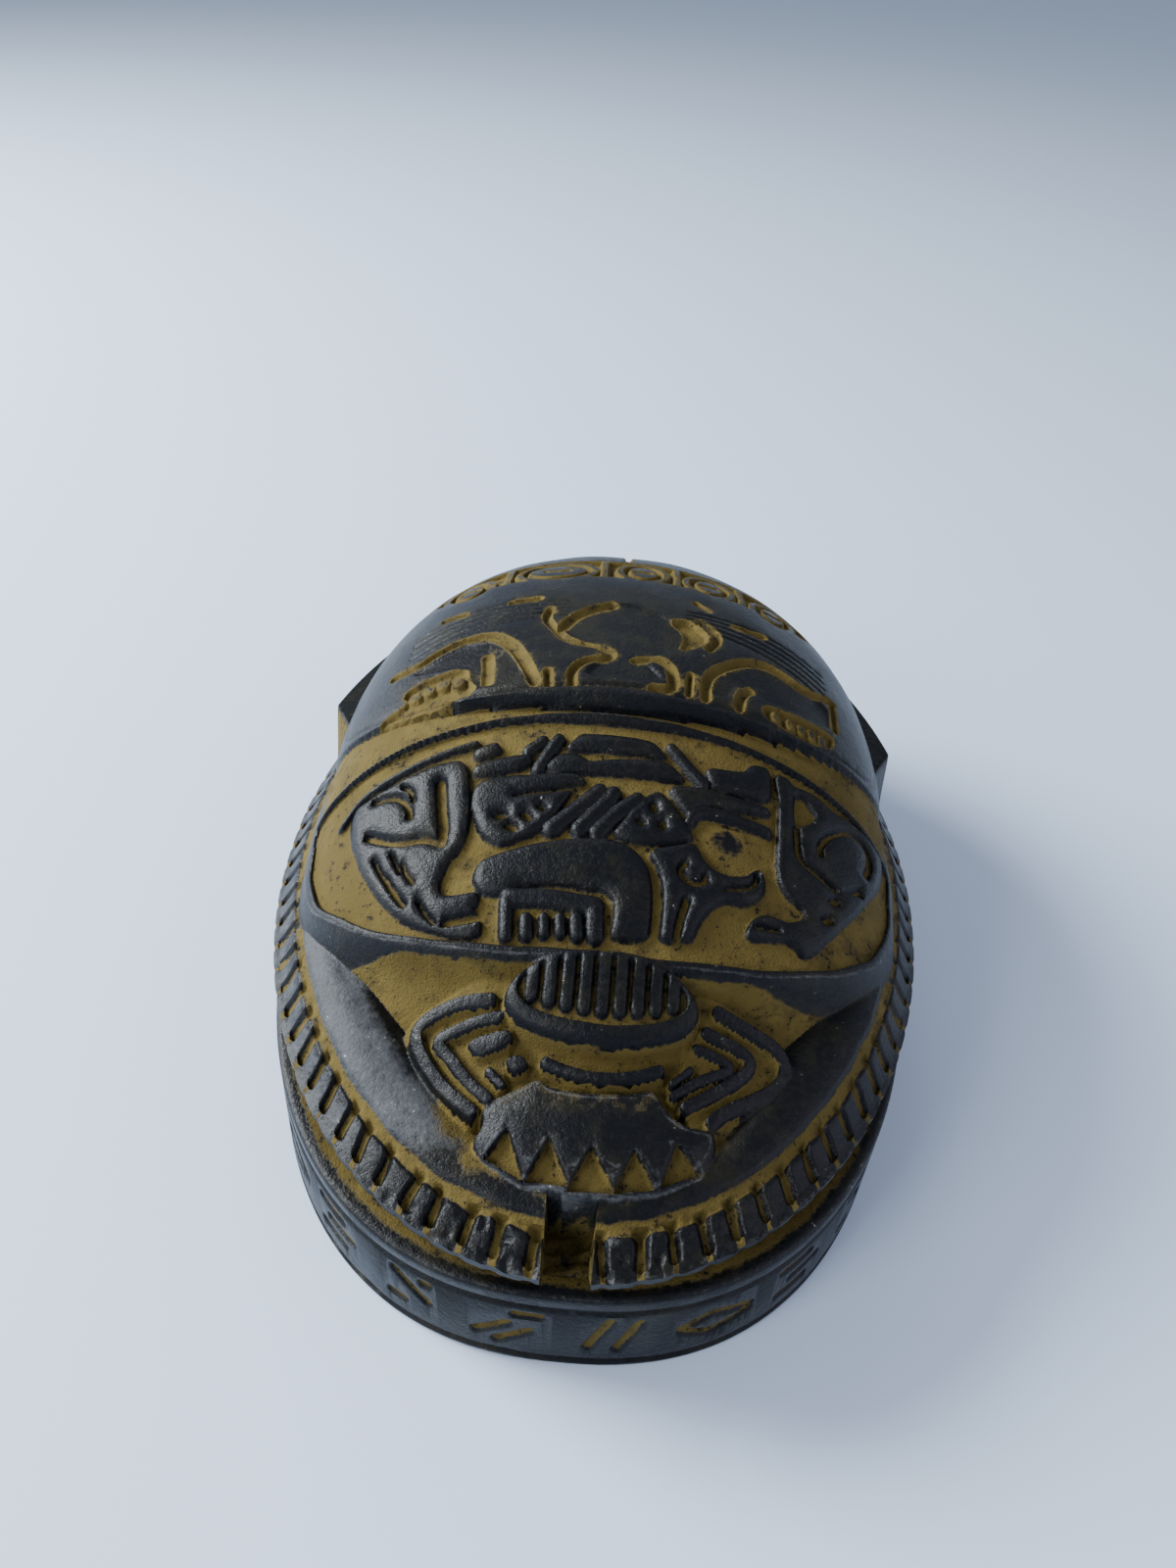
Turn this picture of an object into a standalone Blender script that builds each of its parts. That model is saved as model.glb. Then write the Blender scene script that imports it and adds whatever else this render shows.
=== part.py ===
"""A carved stone scarab beetle on its own oval base, one solid piece of stone.

Metres, +Z up. The origin is at the bottom centre of the base, the head looks towards -Y.
A grid is laid over the scarab's oval, its points are set to the carved surface's height, and
its edge is drawn down round the legs' rim, the ledge and the base wall to the flat underside.
Plan shapes are superellipses. The carving is outlines that stand one relief depth above a field.
"""

import math

import bmesh
import bpy
import numpy as np

OBJECT_NAME = "carved_scarab"

# The oval base with its side wall
BASE_HALF_WIDTH = 0.0441
BASE_HALF_LENGTH = 0.0667
BASE_POWER = 2.35
BASE_HEIGHT = 0.0150
BASE_EDGE = 0.0007
LEDGE_RIM = 0.0012
NECK_HEIGHT = 0.0034
WALL_LINE_WIDTH = 0.0009
WALL_LINE_DEPTH = 0.0005
WALL_LINE_INSET = 0.0026

# The strokes that stand in the place of the inscription round the base
STROKE_WIDTH = 0.0011
STROKE_DEPTH = 0.0006
STROKE_MARGIN = 0.0008
STROKE_PITCH = 0.0118

# The legs, which lie on the base as an oval skirt
SKIRT_OUT = 0.0009
SKIRT_HALF_WIDTH = BASE_HALF_WIDTH + SKIRT_OUT
SKIRT_FRONT = 0.0647
SKIRT_REAR = 0.0655
SKIRT_CENTRE_Y = -0.0029
SKIRT_EDGE = 0.0015
SKIRT_OVERHANG = 0.07
BAND_SHARE = 0.920
BAND_RISE = 0.0069
BAND_DROP = 0.0033
ARM_RISE = 0.0018
ARM_INNER_SHARE = 0.715
ARM_TAPER = 0.12
RECESS_RISE = 0.0016
FRONT_GAP = 0.0054
GAP_DEPTH = 0.0100
GAP_FLOOR = 0.0012
GAP_SHARE = 0.045
TOOTH_PITCH = 0.0040
TOOTH_GROOVE = 0.0011
TOOTH_DEPTH = 0.0010
TOOTH_REACH_Y = 0.0130
TOOTH_SLANT = 0.70
LIP_SHARE = 0.966
NOTCH_SHARE = 0.003
BAND_LINE_WIDTH = 0.0014

# The wing cases
ELYTRA_INSET = 0.0048
ELYTRA_HALF_WIDTH = SKIRT_HALF_WIDTH - ELYTRA_INSET
ELYTRA_FRONT = 0.0113
ELYTRA_REAR = 0.0530
ELYTRA_CENTRE_Y = 0.0080
ELYTRA_POWER = 2.12
ELYTRA_FRONT_POWER = 4.0
ELYTRA_FRONT_CURVE = 0.0420
ELYTRA_LIFT = 0.0007
ELYTRA_CROWN = 0.0250

# The shield behind the head
SHIELD_INSET = 0.0052
SHIELD_HALF_WIDTH = SKIRT_HALF_WIDTH - SHIELD_INSET
SHIELD_CENTRE_Y = -0.0130
SHIELD_FRONT = 0.0240
SHIELD_REAR = 0.0083
SHIELD_FRONT_POWER = 2.7
SHIELD_REAR_POWER = 1.6
SHIELD_BELOW_CROWN = 0.0024
SHIELD_FALL = 0.0036
SHIELD_ARCH = 0.0210
SHIELD_SIDE = SHIELD_HALF_WIDTH + 0.0002
SHIELD_DROP = 0.0034
SHIELD_SLOPE = 0.95
FRAME_WIDTH = 0.0018
BORDER_WIDTH = 0.0017

# The channel between the shield and the wing cases
CHANNEL_DEPTH = 0.0012
CHANNEL_SLOPE = 0.45
CHANNEL_FRONT = 0.0075
CHANNEL_REAR = 0.0095
CHANNEL_POWER = 4.0

# The head
HEAD_SHIFT = 0.0014
HEAD_RISE = 0.0285
HEAD_BEND_Y = -0.0480
HEAD_HALF_WIDTH = 0.0215
HEAD_SIDE_FALL = 0.0050
HEAD_REAR_SLOPE = 0.58
HEAD_FRONT_SLOPE = 0.40
HEAD_BED_DEPTH = 0.0016
DISC_HALF_WIDTH = 0.0112
DISC_HALF_LENGTH = 0.0045
DISC_RISE = 0.0015
DISC_RIM = 0.0013
NOTCH_COUNT = 5
NOTCH_DEPTH = 0.0014

# The knees of the middle legs
KNEE_INSET = 0.0002
KNEE_REACH = SKIRT_HALF_WIDTH - KNEE_INSET
KNEE_HEIGHT = 0.0295
KNEE_SIDE = 0.0012

# The carving: how deep its field lies, and how wide its edges slope
RELIEF = 0.0009
RELIEF_EDGE = 0.0006

# Rounding between the legs' rim and the ledge
RIM_ROUNDING = 0.0005

# Heights worked out from the sizes above
SKIRT_LOW = BASE_HEIGHT + NECK_HEIGHT
SKIRT_TOP = SKIRT_LOW + SKIRT_EDGE
BAND_TOP = SKIRT_LOW + BAND_RISE
RECESS = SKIRT_TOP + RECESS_RISE
ELYTRA_BASE = BAND_TOP + ELYTRA_LIFT
ELYTRA_TOP = ELYTRA_BASE + ELYTRA_CROWN
SHIELD_TOP = ELYTRA_TOP - SHIELD_BELOW_CROWN

# One step of the carving's own drawing, which keeps its proportions to what it lies on
SHIELD_STEP = SHIELD_HALF_WIDTH / 39.8
ELYTRA_STEP = ELYTRA_HALF_WIDTH / 40.2
HEAD_STEP = DISC_HALF_WIDTH / 11.2

# The grid over the oval, the rows down the wall, and the facets that are kept
CELLS_ACROSS = 170
CELLS_ALONG = 250
WALL_ROWS = 26
FACETS = 9800

STONE_COLOUR = (0.012, 0.013, 0.018, 1.0)
STONE_ROUGHNESS = 0.42


class Plan:
    """An oval seen from above, with its own front and rear halves."""

    def __init__(self, centre_y, half_width, front, rear, front_power, rear_power):
        self.centre_y = centre_y
        self.half_width = half_width
        self.front = front
        self.rear = rear
        self.front_power = front_power
        self.rear_power = rear_power

    def half(self, along):
        """Return the half length and the power that hold in front of or behind the centre."""
        length = np.where(along > 0, self.rear, self.front)
        return length, np.where(along > 0, self.rear_power, self.front_power)

    def point(self, across, along, share=1.0, grow=0.0):
        """Return x and y for a direction on the unit circle, on the scaled and widened oval."""
        length, power = self.half(along)
        x = np.sign(across) * np.abs(across) ** (2 / power) * (self.half_width * share + grow)
        y = np.sign(along) * np.abs(along) ** (2 / power) * (length * share + grow)
        return x, self.centre_y + y

    def share(self, x, y):
        """Return 0 at the centre, 1 on the oval and more outside it."""
        length, power = self.half(y - self.centre_y)
        total = np.abs(x / self.half_width) ** power + np.abs((y - self.centre_y) / length) ** power
        return total ** (1 / power)

    def depth(self, x, y):
        """Return about how far a place lies inside the oval, less than 0 outside it."""
        share = np.maximum(self.share(x, y), 0.05)
        return (1 / share - 1) * np.hypot(x, y - self.centre_y)

    def edge_point(self, x, y):
        """Return the place on the oval that lies on the way from its centre."""
        share = np.maximum(self.share(x, y), 0.05)
        return x / share, self.centre_y + (y - self.centre_y) / share


BASE = Plan(0.0, BASE_HALF_WIDTH, BASE_HALF_LENGTH, BASE_HALF_LENGTH, BASE_POWER, BASE_POWER)
SKIRT = Plan(SKIRT_CENTRE_Y, SKIRT_HALF_WIDTH, SKIRT_FRONT, SKIRT_REAR, 2.0, 2.0)
ELYTRA = Plan(ELYTRA_CENTRE_Y, ELYTRA_HALF_WIDTH, ELYTRA_FRONT, ELYTRA_REAR, ELYTRA_FRONT_POWER,
              ELYTRA_POWER)
SHIELD = Plan(SHIELD_CENTRE_Y, SHIELD_HALF_WIDTH, SHIELD_FRONT, SHIELD_REAR, SHIELD_FRONT_POWER,
              SHIELD_REAR_POWER)
WAIST = Plan(SHIELD_CENTRE_Y + SHIELD_REAR, SHIELD_HALF_WIDTH, CHANNEL_FRONT, CHANNEL_REAR, CHANNEL_POWER,
             CHANNEL_POWER)


def ease(value):
    """Return a value eased from 0 to 1."""
    value = np.clip(value, 0.0, 1.0)
    return value * value * (3 - 2 * value)


def front_share(y):
    """Return 0 at the skirt's widest place and 1 at its front end."""
    return ease((SKIRT_CENTRE_Y - y) / SKIRT_FRONT * 2.0 - 0.9)


def elytra_height(x, y):
    """Return the height of the wing cases' finished surface."""
    length = np.where(y < ELYTRA_CENTRE_Y, ELYTRA_FRONT_CURVE, ELYTRA_REAR)
    reach = np.abs(x / ELYTRA_HALF_WIDTH) ** ELYTRA_POWER
    reach += np.abs((y - ELYTRA_CENTRE_Y) / length) ** ELYTRA_POWER
    return ELYTRA_BASE + ELYTRA_CROWN * np.sqrt(np.clip(1 - reach, 0.0, 1.0))


def shield_height(x, y):
    """Return the height of the shield's finished surface."""
    along = (SHIELD_CENTRE_Y + SHIELD_REAR - y) / (SHIELD_FRONT + SHIELD_REAR)
    crown = SHIELD_TOP - SHIELD_FALL * (2.55 * along + 0.95 * along * along)
    reach = np.abs(x / SHIELD_SIDE) ** 2.1
    return crown - SHIELD_ARCH * (1 - np.sqrt(np.clip(1 - reach, 0.0, 1.0)))


def waist_height(x, y):
    """Return the height of the channel and flanks between the shield and the wing cases."""
    reach = np.abs(x / SHIELD_SIDE) ** 2.3
    crown = SHIELD_TOP - ELYTRA_BASE
    slope = CHANNEL_SLOPE * np.maximum(WAIST.centre_y - y, 0.0)
    arch = crown * np.sqrt(np.clip(1 - reach, 0.0, 1.0))
    return ELYTRA_BASE + arch - CHANNEL_DEPTH - slope


def head_height(x, y):
    """Return the height of the head's finished surface."""
    along = y - HEAD_BEND_Y
    side = (x - HEAD_SHIFT) / HEAD_HALF_WIDTH
    slope = np.where(along > 0, HEAD_REAR_SLOPE, HEAD_FRONT_SLOPE)
    return HEAD_RISE + slope * along - HEAD_SIDE_FALL * side * side


def inside(x, y, outline):
    """Return how far each place lies inside a closed outline, less than 0 outside it."""
    nearest = np.full(x.shape, 1.0)
    crossings = np.zeros(x.shape, dtype=bool)
    for (x0, y0), (x1, y1) in zip(outline, outline[1:] + outline[:1]):
        run, rise = x1 - x0, y1 - y0
        along = np.clip(((x - x0) * run + (y - y0) * rise) / (run * run + rise * rise), 0.0, 1.0)
        nearest = np.minimum(nearest, np.hypot(x - x0 - along * run, y - y0 - along * rise))
        if rise:
            crossings ^= ((y0 > y) != (y1 > y)) & (x < x0 + (y - y0) * run / rise)
    return np.where(crossings, nearest, -nearest)


def inside_any(x, y, outlines):
    """Return how far each place lies inside the nearest of several outlines."""
    best = np.full(x.shape, -1.0)
    for outline in outlines:
        xs, ys = [point[0] for point in outline], [point[1] for point in outline]
        near = (x > min(xs) - 0.004) & (x < max(xs) + 0.004)
        near &= (y > min(ys) - 0.004) & (y < max(ys) + 0.004)
        best[near] = np.maximum(best[near], inside(x[near], y[near], outline))
    return best


def raised(distance):
    """Return 1 well inside an outline and 0 outside it, eased over the carving's edge."""
    return ease(distance / RELIEF_EDGE + 0.5)


def bar(start, end, width, end_width=None):
    """Return the outline of a straight bar, which may taper."""
    (x0, y0), (x1, y1) = start, end
    length = math.hypot(x1 - x0, y1 - y0)
    side = (-(y1 - y0) / length / 2, (x1 - x0) / length / 2)
    last = end_width or width
    return [(x0 + side[0] * width, y0 + side[1] * width), (x0 - side[0] * width, y0 - side[1] * width),
            (x1 - side[0] * last, y1 - side[1] * last), (x1 + side[0] * last, y1 + side[1] * last)]


def disc(centre, half_width, half_length, count=18):
    """Return the outline of an ellipse."""
    angles = [2 * math.pi * index / count for index in range(count)]
    return [(centre[0] + half_width * math.cos(angle), centre[1] + half_length * math.sin(angle))
            for angle in angles]


def stroke(points, width):
    """Return the outline of a bent bar along a few points."""
    left, right = [], []
    for index, (x, y) in enumerate(points):
        before = points[max(index - 1, 0)]
        after = points[min(index + 1, len(points) - 1)]
        length = math.hypot(after[0] - before[0], after[1] - before[1])
        across = (-(after[1] - before[1]) / length * width / 2, (after[0] - before[0]) / length * width / 2)
        left.append((x + across[0], y + across[1]))
        right.append((x - across[0], y - across[1]))
    return left + right[::-1]


def arc(centre, half_width, half_length, first, last, width, count=8):
    """Return the outline of a bent bar along part of an ellipse, with its ends in degrees."""
    points = []
    for index in range(count + 1):
        angle = math.radians(first + (last - first) * index / count)
        points.append((centre[0] + half_width * math.cos(angle), centre[1] + half_length * math.sin(angle)))
    return stroke(points, width)


def placed(outlines, step, across=0.0):
    """Return outlines drawn in steps, set to metres and moved across."""
    return [[(x * step + across, y * step) for x, y in outline] for outline in outlines]


def left_figure():
    """Return the seated figure at the shield's left: its body, arm and beak."""
    body = [(-34, -17.5), (-31, -13.6), (-25.5, -11.2), (-19, -10.6), (-19.4, -19), (-22.3, -24.5),
            (-21.5, -27.6), (-15.6, -27.4), (-15.2, -29.3), (-22, -31.6), (-27, -29.5), (-32, -23.5)]
    return [body]


def left_figure_cuts():
    """Return the bent lines inside the left figure."""
    outer = stroke([(-22.4, -12.6), (-22.2, -17.5), (-23.6, -20.6), (-27, -21.9), (-32, -21.2)], 0.9)
    inner = stroke([(-26.6, -13.4), (-26.2, -16.8), (-28.6, -17.6)], 0.9)
    return [outer, inner]


def striding_animal():
    """Return the striding animal in the shield's middle."""
    wing = [(-16.3, -17.5), (-14.5, -14.6), (-9, -13.9), (-3.2, -14.2), (-1.2, -15.2), (-4.8, -20.6),
            (-9, -21.8), (-14.2, -21.2)]
    stripes = [bar((-2.6 + 2.6 * index, -21.2), (0.9 + 2.6 * index, -15.6), 1.5) for index in range(3)]
    chest = [(4.6, -21.6), (8.0, -15.4), (11.0, -19.0), (10.8, -22.4)]
    body = [(-14.2, -25.4), (-12.4, -23.4), (-6, -22.5), (0.6, -22.4), (4.4, -23.6), (6.2, -26.6),
            (6.4, -33.0), (2.0, -33.0), (1.6, -28.4), (-1.2, -26.9), (-8.5, -26.0), (-13.6, -27.6)]
    head = [(7.4, -23.0), (12.6, -23.6), (15.4, -25.2), (19.2, -23.6), (19.6, -26.2), (14.6, -28.2),
            (12.6, -32.6), (7.8, -32.6)]
    horns = [stroke([(9.6, -14.6), (13.4, -15.0), (20.6, -13.8)], 1.3)]
    horns.append(stroke([(10.6, -16.8), (14.4, -16.6), (20.8, -16.6)], 1.0))
    return [wing, chest, body, head] + stripes + horns


def basket():
    """Return the bar with its row of small columns below the animal."""
    columns = [bar((-10.6 + 2.3 * index, -33.2), (-10.6 + 2.3 * index, -29.6), 1.1) for index in range(5)]
    return [bar((-12.0, -28.8), (0.0, -29.8), 1.6)] + columns


def right_figure():
    """Return the seated figure at the shield's right, with its staff, disc and zigzag neck."""
    staff = [(21.2, -9.2), (23.0, -9.6), (23.0, -17.6), (26.0, -21.6), (31.0, -21.0), (34.2, -17.2),
             (33.6, -23), (29.6, -28.6), (25.6, -29.4), (24.6, -27.4), (21.0, -27.0), (23.2, -24.6),
             (21.2, -20)]
    neck = stroke([(25.2, -11.2), (27.6, -13.4), (25.8, -16.2), (28.8, -19.2)], 1.6)
    return [staff, neck, disc((31.0, -15.6), 2.5, 2.9)]


def top_row():
    """Return the boat and the slanting bars along the shield's rear."""
    boat = [(-4.6, -9.0), (6.6, -9.0), (8.6, -10.6), (-5.6, -10.6)]
    hull = [(-6.4, -11.8), (9.0, -11.8), (7.0, -13.2), (-4.8, -13.2)]
    return [boat, hull, bar((-17.2, -12.2), (-11.2, -12.0), 1.5), bar((-16.6, -10.0), (-12.4, -9.6), 1.3),
            bar((-9.6, -13.0), (-6.0, -9.2), 1.2), bar((8.6, -9.6), (12.0, -13.2), 1.2),
            bar((13.0, -11.6), (19.6, -11.8), 2.0)]


def elytra_middle():
    """Return the facing birds between the two arches of the wing cases."""
    crown = disc((1.5, 14.6), 9.4, 5.6, 16)
    waist = bar((1.5, 16.0), (1.5, 2.0), 7.0)
    foot = disc((1.5, 2.6), 8.8, 2.6, 14)
    posts = [stroke([(side * 13.0 + 1.5, 1.0), (side * 13.0 + 1.5, 9.0), (side * 11.6 + 1.5, 12.4)], 3.2)
             for side in (-1, 1)]
    return [crown, waist, foot] + posts


def elytra_arch(side):
    """Return one arch with its comb, mirrored by side."""
    fan = [(side * 8.0 + 1.0, 20.4), (side * 17.0, 18.8), (side * 25.0, 14.6), (side * 31.6, 8.4)]
    wing = stroke(fan, 4.6)
    rib = stroke([(side * 16.4, 5.0), (side * 18.6, 9.6), (side * 23.0, 9.4), (side * 28.6, 5.8)], 3.6)
    comb = stroke([(side * 18.6, 1.2), (side * 20.0, 5.0), (side * 24.6, 5.2), (side * 31.8, 1.6)], 1.1)
    teeth = []
    for index in range(5):
        across = side * (21.6 + 2.1 * index)
        teeth.append(bar((across, 0.6), (across, 3.8), 1.0))
    return [wing, rib, comb] + teeth


def elytra_band():
    """Return the border across the wing cases."""
    return [stroke([(-30.5, 20.5), (-20, 24.2), (-8, 25.8), (8, 25.8), (20, 24.2), (30.5, 20.5)], 1.5)]


def elytra_ovals():
    """Return the row of ovals behind the border, each a core in a ring of two halves."""
    shapes = []
    for middle, half in ((-24.0, 3.6), (-10.7, 6.0), (2.6, 3.7), (13.0, 3.7), (23.2, 3.4)):
        centre = (middle, 33.2 - 0.006 * middle * middle)
        shapes.append(disc(centre, half * 0.4, 2.6, 10))
        shapes.append(arc(centre, half, 4.8, 10, 170, 1.2, 8))
        shapes.append(arc(centre, half, 4.8, 190, 350, 1.2, 8))
    return shapes


def elytra_posts():
    """Return the upright bars between the ovals."""
    return [bar((across, 28.4), (across, 38.0), 1.3) for across in (-18.9, -2.7, 7.8, 18.2)]


def clypeus():
    """Return the outline of the head's toothed front plate."""
    front = [(13.6 * math.sin(math.radians(angle)), -48.6 - 12.6 * math.cos(math.radians(angle)))
             for angle in range(-84, 85, 14)]
    return front + [(10.4, -48.8), (4, -48.2), (-4, -48.2), (-10.4, -48.8)]


def clypeus_notches():
    """Return the row of triangular pits behind the front plate's lip."""
    outlines = []
    for index in range(NOTCH_COUNT):
        angle = math.radians(-48 + 96 * index / (NOTCH_COUNT - 1))
        out = (math.sin(angle), -math.cos(angle))
        side = (math.cos(angle), math.sin(angle))
        lip = (12.4 * out[0], -48.8 + 11.4 * out[1])
        tip = (lip[0] - 3.8 * out[0], lip[1] - 3.8 * out[1])
        outlines.append([(lip[0] - 2.2 * side[0], lip[1] - 2.2 * side[1]),
                         (lip[0] + 2.2 * side[0], lip[1] + 2.2 * side[1]), tip])
    return outlines


def eye_plates():
    """Return the two plates beside the head's disc."""
    right = [(9.6, -37.6), (14.2, -37.4), (22.0, -40.6), (22.6, -42.4), (13.4, -52.0), (10.4, -50.6)]
    return [right, [(-x, y) for x, y in right]]


def eye_ridges():
    """Return the angled ridges on the two plates."""
    shapes = []
    for side in (-1, 1):
        shapes.append(stroke([(side * 13.4, -38.2), (side * 21.2, -41.4), (side * 13.2, -51.0)], 1.5))
        shapes.append(stroke([(side * 12.8, -40.8), (side * 18.2, -42.6), (side * 11.8, -49.6)], 1.2))
    shapes.append(bar((-14.6, -44.4), (-11.0, -43.6), 1.7))
    shapes.append(bar((-11.4, -46.6), (-9.8, -46.4), 1.2))
    shapes.append([(11.4, -43.0), (15.4, -43.4), (12.4, -46.4)])
    return shapes


def head_band():
    """Return the curved bar between the disc and the front plate."""
    return [arc((0, -38.6), 11.6, 8.2, 220, 320, 1.3)]


def disc_stripes():
    """Return the raised stripes on the disc."""
    shapes = []
    count = 9
    for index in range(count):
        x = -8.2 + 16.4 * index / (count - 1)
        reach = 3.3 * math.sqrt(1 - (x / 10.2) ** 2)
        shapes.append(bar((x, -40.4 - reach), (x, -40.4 + reach), 1.5))
    return shapes


def knee(side):
    """Return the outline of one knee of the middle legs."""
    reach = KNEE_REACH / ELYTRA_STEP
    return [(side * 33.0, 4.0), (side * 38.6, 8.6), (side * reach, 19.6), (side * reach, 22.6),
            (side * 39.5, 33.0), (side * 33.0, 36.0)]


def legs_profile(x, y, share):
    """Return the height of the legs and of the recess inside them."""
    front = front_share(y)
    band = BAND_TOP - BAND_DROP * front
    arm = band + ARM_RISE * (1 - 0.6 * front)
    inner = ARM_INNER_SHARE + ARM_TAPER * front
    width = BAND_SHARE - inner
    line = BAND_LINE_WIDTH / SKIRT_HALF_WIDTH / 2
    stations = [
        (0.0, RECESS + 0 * y), (inner - 0.05, RECESS + 0 * y), (inner + width * 0.1, arm - 0.0016),
        (inner + width * 0.35, arm), (inner + width * 0.7, arm), (BAND_SHARE - line, band + 0.0004),
        (BAND_SHARE, band - BAND_LINE_WIDTH * 0.5), (BAND_SHARE + line, band),
        (0.988, SKIRT_TOP + 0.0004), (1.02, SKIRT_TOP - 0.0004),
    ]
    height = RECESS + 0 * y
    for (low_share, low), (high_share, high) in zip(stations, stations[1:]):
        part = (share - low_share) / (high_share - low_share)
        height = np.where((part >= 0) & (part <= 1), low + (high - low) * part, height)
    return height


def tooth_grooves():
    """Return the slanting grooves that part the teeth, each as two ends in plan."""
    angles = np.linspace(-math.pi / 2, math.pi / 2, 2000)
    xs, ys = SKIRT.point(np.cos(angles), np.sin(angles))
    travelled = np.concatenate([[0.0], np.cumsum(np.hypot(np.diff(xs), np.diff(ys)))])
    reach = np.interp(TOOTH_REACH_Y, ys, travelled)
    grooves = []
    for distance in np.arange(TOOTH_PITCH, reach, TOOTH_PITCH):
        x, y = float(np.interp(distance, travelled, xs)), float(np.interp(distance, travelled, ys))
        normal = (x / SKIRT_HALF_WIDTH ** 2, (y - SKIRT_CENTRE_Y) / SKIRT_FRONT ** 2)
        length = math.hypot(*normal)
        normal = (normal[0] / length, normal[1] / length)
        turn = TOOTH_SLANT * float(ease((SKIRT_CENTRE_Y - y) / SKIRT_FRONT * 1.6 - 0.5))
        length = math.hypot(normal[0], normal[1] - turn)
        slant = (normal[0] / length, (normal[1] - turn) / length)
        band = (1 - BAND_SHARE) * (normal[0] * x + normal[1] * (y - SKIRT_CENTRE_Y))
        band /= slant[0] * normal[0] + slant[1] * normal[1]
        start = (x - slant[0] * band, y - slant[1] * band)
        end = (x + slant[0] * 0.002, y + slant[1] * 0.002)
        grooves += [(start, end), ((-start[0], start[1]), (-end[0], end[1]))]
    return grooves


def groove_depth(x, y):
    """Return how deep the tooth grooves cut at each place, from 0 to 1."""
    cut = np.zeros(x.shape)
    for (x0, y0), (x1, y1) in tooth_grooves():
        run, rise = x1 - x0, y1 - y0
        along = np.clip(((x - x0) * run + (y - y0) * rise) / (run * run + rise * rise), 0.0, 1.0)
        away = np.hypot(x - x0 - along * run, y - y0 - along * rise)
        cut = np.maximum(cut, ease(1.25 - away / TOOTH_GROOVE * 2.0))
    return cut


def in_front_gap(x, y):
    """Return which places lie in the gap between the front legs."""
    return (np.abs(x) < FRONT_GAP / 2) & (y < SKIRT_CENTRE_Y - SKIRT_FRONT + GAP_DEPTH)


def falling(height, distance, drop, slope):
    """Return a surface that ends in a steep drop and then a slope outside its edge."""
    out = np.maximum(-distance, 0.0)
    return height - drop * (1 - np.exp(-out / (drop * 0.25))) - slope * out


def wing_cases(x, y):
    """Return the carved height of the wing cases with the waist below the channel."""
    depth = ELYTRA.depth(x, y)
    outlines = placed(elytra_middle() + elytra_arch(1) + elytra_arch(-1) + elytra_band() + elytra_posts()
                      + elytra_ovals(), ELYTRA_STEP)
    figures = raised(inside_any(x, y, outlines))
    border = raised(BORDER_WIDTH - depth)
    field = elytra_height(x, y) - RELIEF * (1 - np.maximum(figures, border))
    waist = np.where(WAIST.share(x, y) < 1, waist_height(x, y), 0.0)
    return np.maximum(np.where(depth > 0, field, 0.0), waist)


def shield(x, y):
    """Return the carved height of the shield and of the slope below its edge."""
    depth = SHIELD.depth(x, y)
    outlines = left_figure() + striding_animal() + basket() + right_figure() + top_row()
    figures = raised(inside_any(x, y, placed(outlines, SHIELD_STEP)))
    figures *= 1 - raised(inside_any(x, y, placed(left_figure_cuts(), SHIELD_STEP)))
    frame = raised(FRAME_WIDTH - depth)
    field = shield_height(x, y) - RELIEF * (1 - np.maximum(figures, frame))
    edge_x, edge_y = SHIELD.edge_point(x, y)
    outside = falling(shield_height(edge_x, edge_y), depth, SHIELD_DROP, SHIELD_SLOPE)
    return np.where(depth > 0, field, np.where(y < SHIELD_CENTRE_Y, outside, 0.0))


def add_plate(height, x, y, outlines, top):
    """Return the height with flat-sided plates raised to a top surface."""
    distance = inside_any(x, y, placed(outlines, HEAD_STEP, HEAD_SHIFT))
    lifted = np.maximum(height, height + (top - height) * raised(distance))
    return np.where(distance > -RELIEF_EDGE / 2, lifted, height)


def head(x, y, height):
    """Return the height with the head's plates, disc, bar and toothed front plate added."""
    surface = head_height(x, y)
    height = add_plate(height, x, y, [disc((0, -43.0), 15.0, 8.6)], surface - HEAD_BED_DEPTH)
    height = add_plate(height, x, y, eye_plates(), surface - RELIEF)
    height = add_plate(height, x, y, eye_ridges(), surface + 0.0003)
    height = add_plate(height, x, y, [clypeus()], surface)
    notches = raised(inside_any(x, y, placed(clypeus_notches(), HEAD_STEP, HEAD_SHIFT)))
    height = height - NOTCH_DEPTH * notches
    height = add_plate(height, x, y, head_band(), surface + 0.0002)
    plate = disc((0, -40.4), DISC_HALF_WIDTH / HEAD_STEP, DISC_HALF_LENGTH / HEAD_STEP, 36)
    height = add_plate(height, x, y, [plate], surface + DISC_RISE)
    inner = disc((0, -40.4), (DISC_HALF_WIDTH - DISC_RIM) / HEAD_STEP,
                 (DISC_HALF_LENGTH - DISC_RIM) / HEAD_STEP, 36)
    sunk = raised(inside_any(x, y, placed([inner], HEAD_STEP, HEAD_SHIFT)))
    stripes = raised(inside_any(x, y, placed(disc_stripes(), HEAD_STEP, HEAD_SHIFT)))
    return height - RELIEF * sunk * (1 - stripes)


def top_height(x, y):
    """Return the height of the whole carved upper side."""
    share = SKIRT.share(x, y)
    lip = ease((share - LIP_SHARE) / (1 - LIP_SHARE) * 1.5)
    height = legs_profile(x, y, share)
    height = height - TOOTH_DEPTH * groove_depth(x, y) * (1 - lip)
    height = np.where(in_front_gap(x, y), BASE_HEIGHT + GAP_FLOOR, height)
    for side in (1, -1):
        distance = inside_any(x, y, placed([knee(side)], ELYTRA_STEP))
        height = height + (KNEE_HEIGHT - height) * ease(distance / KNEE_SIDE + 0.5)
    height = np.maximum(height, wing_cases(x, y))
    height = np.maximum(height, shield(x, y))
    return head(x, y, height)


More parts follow.
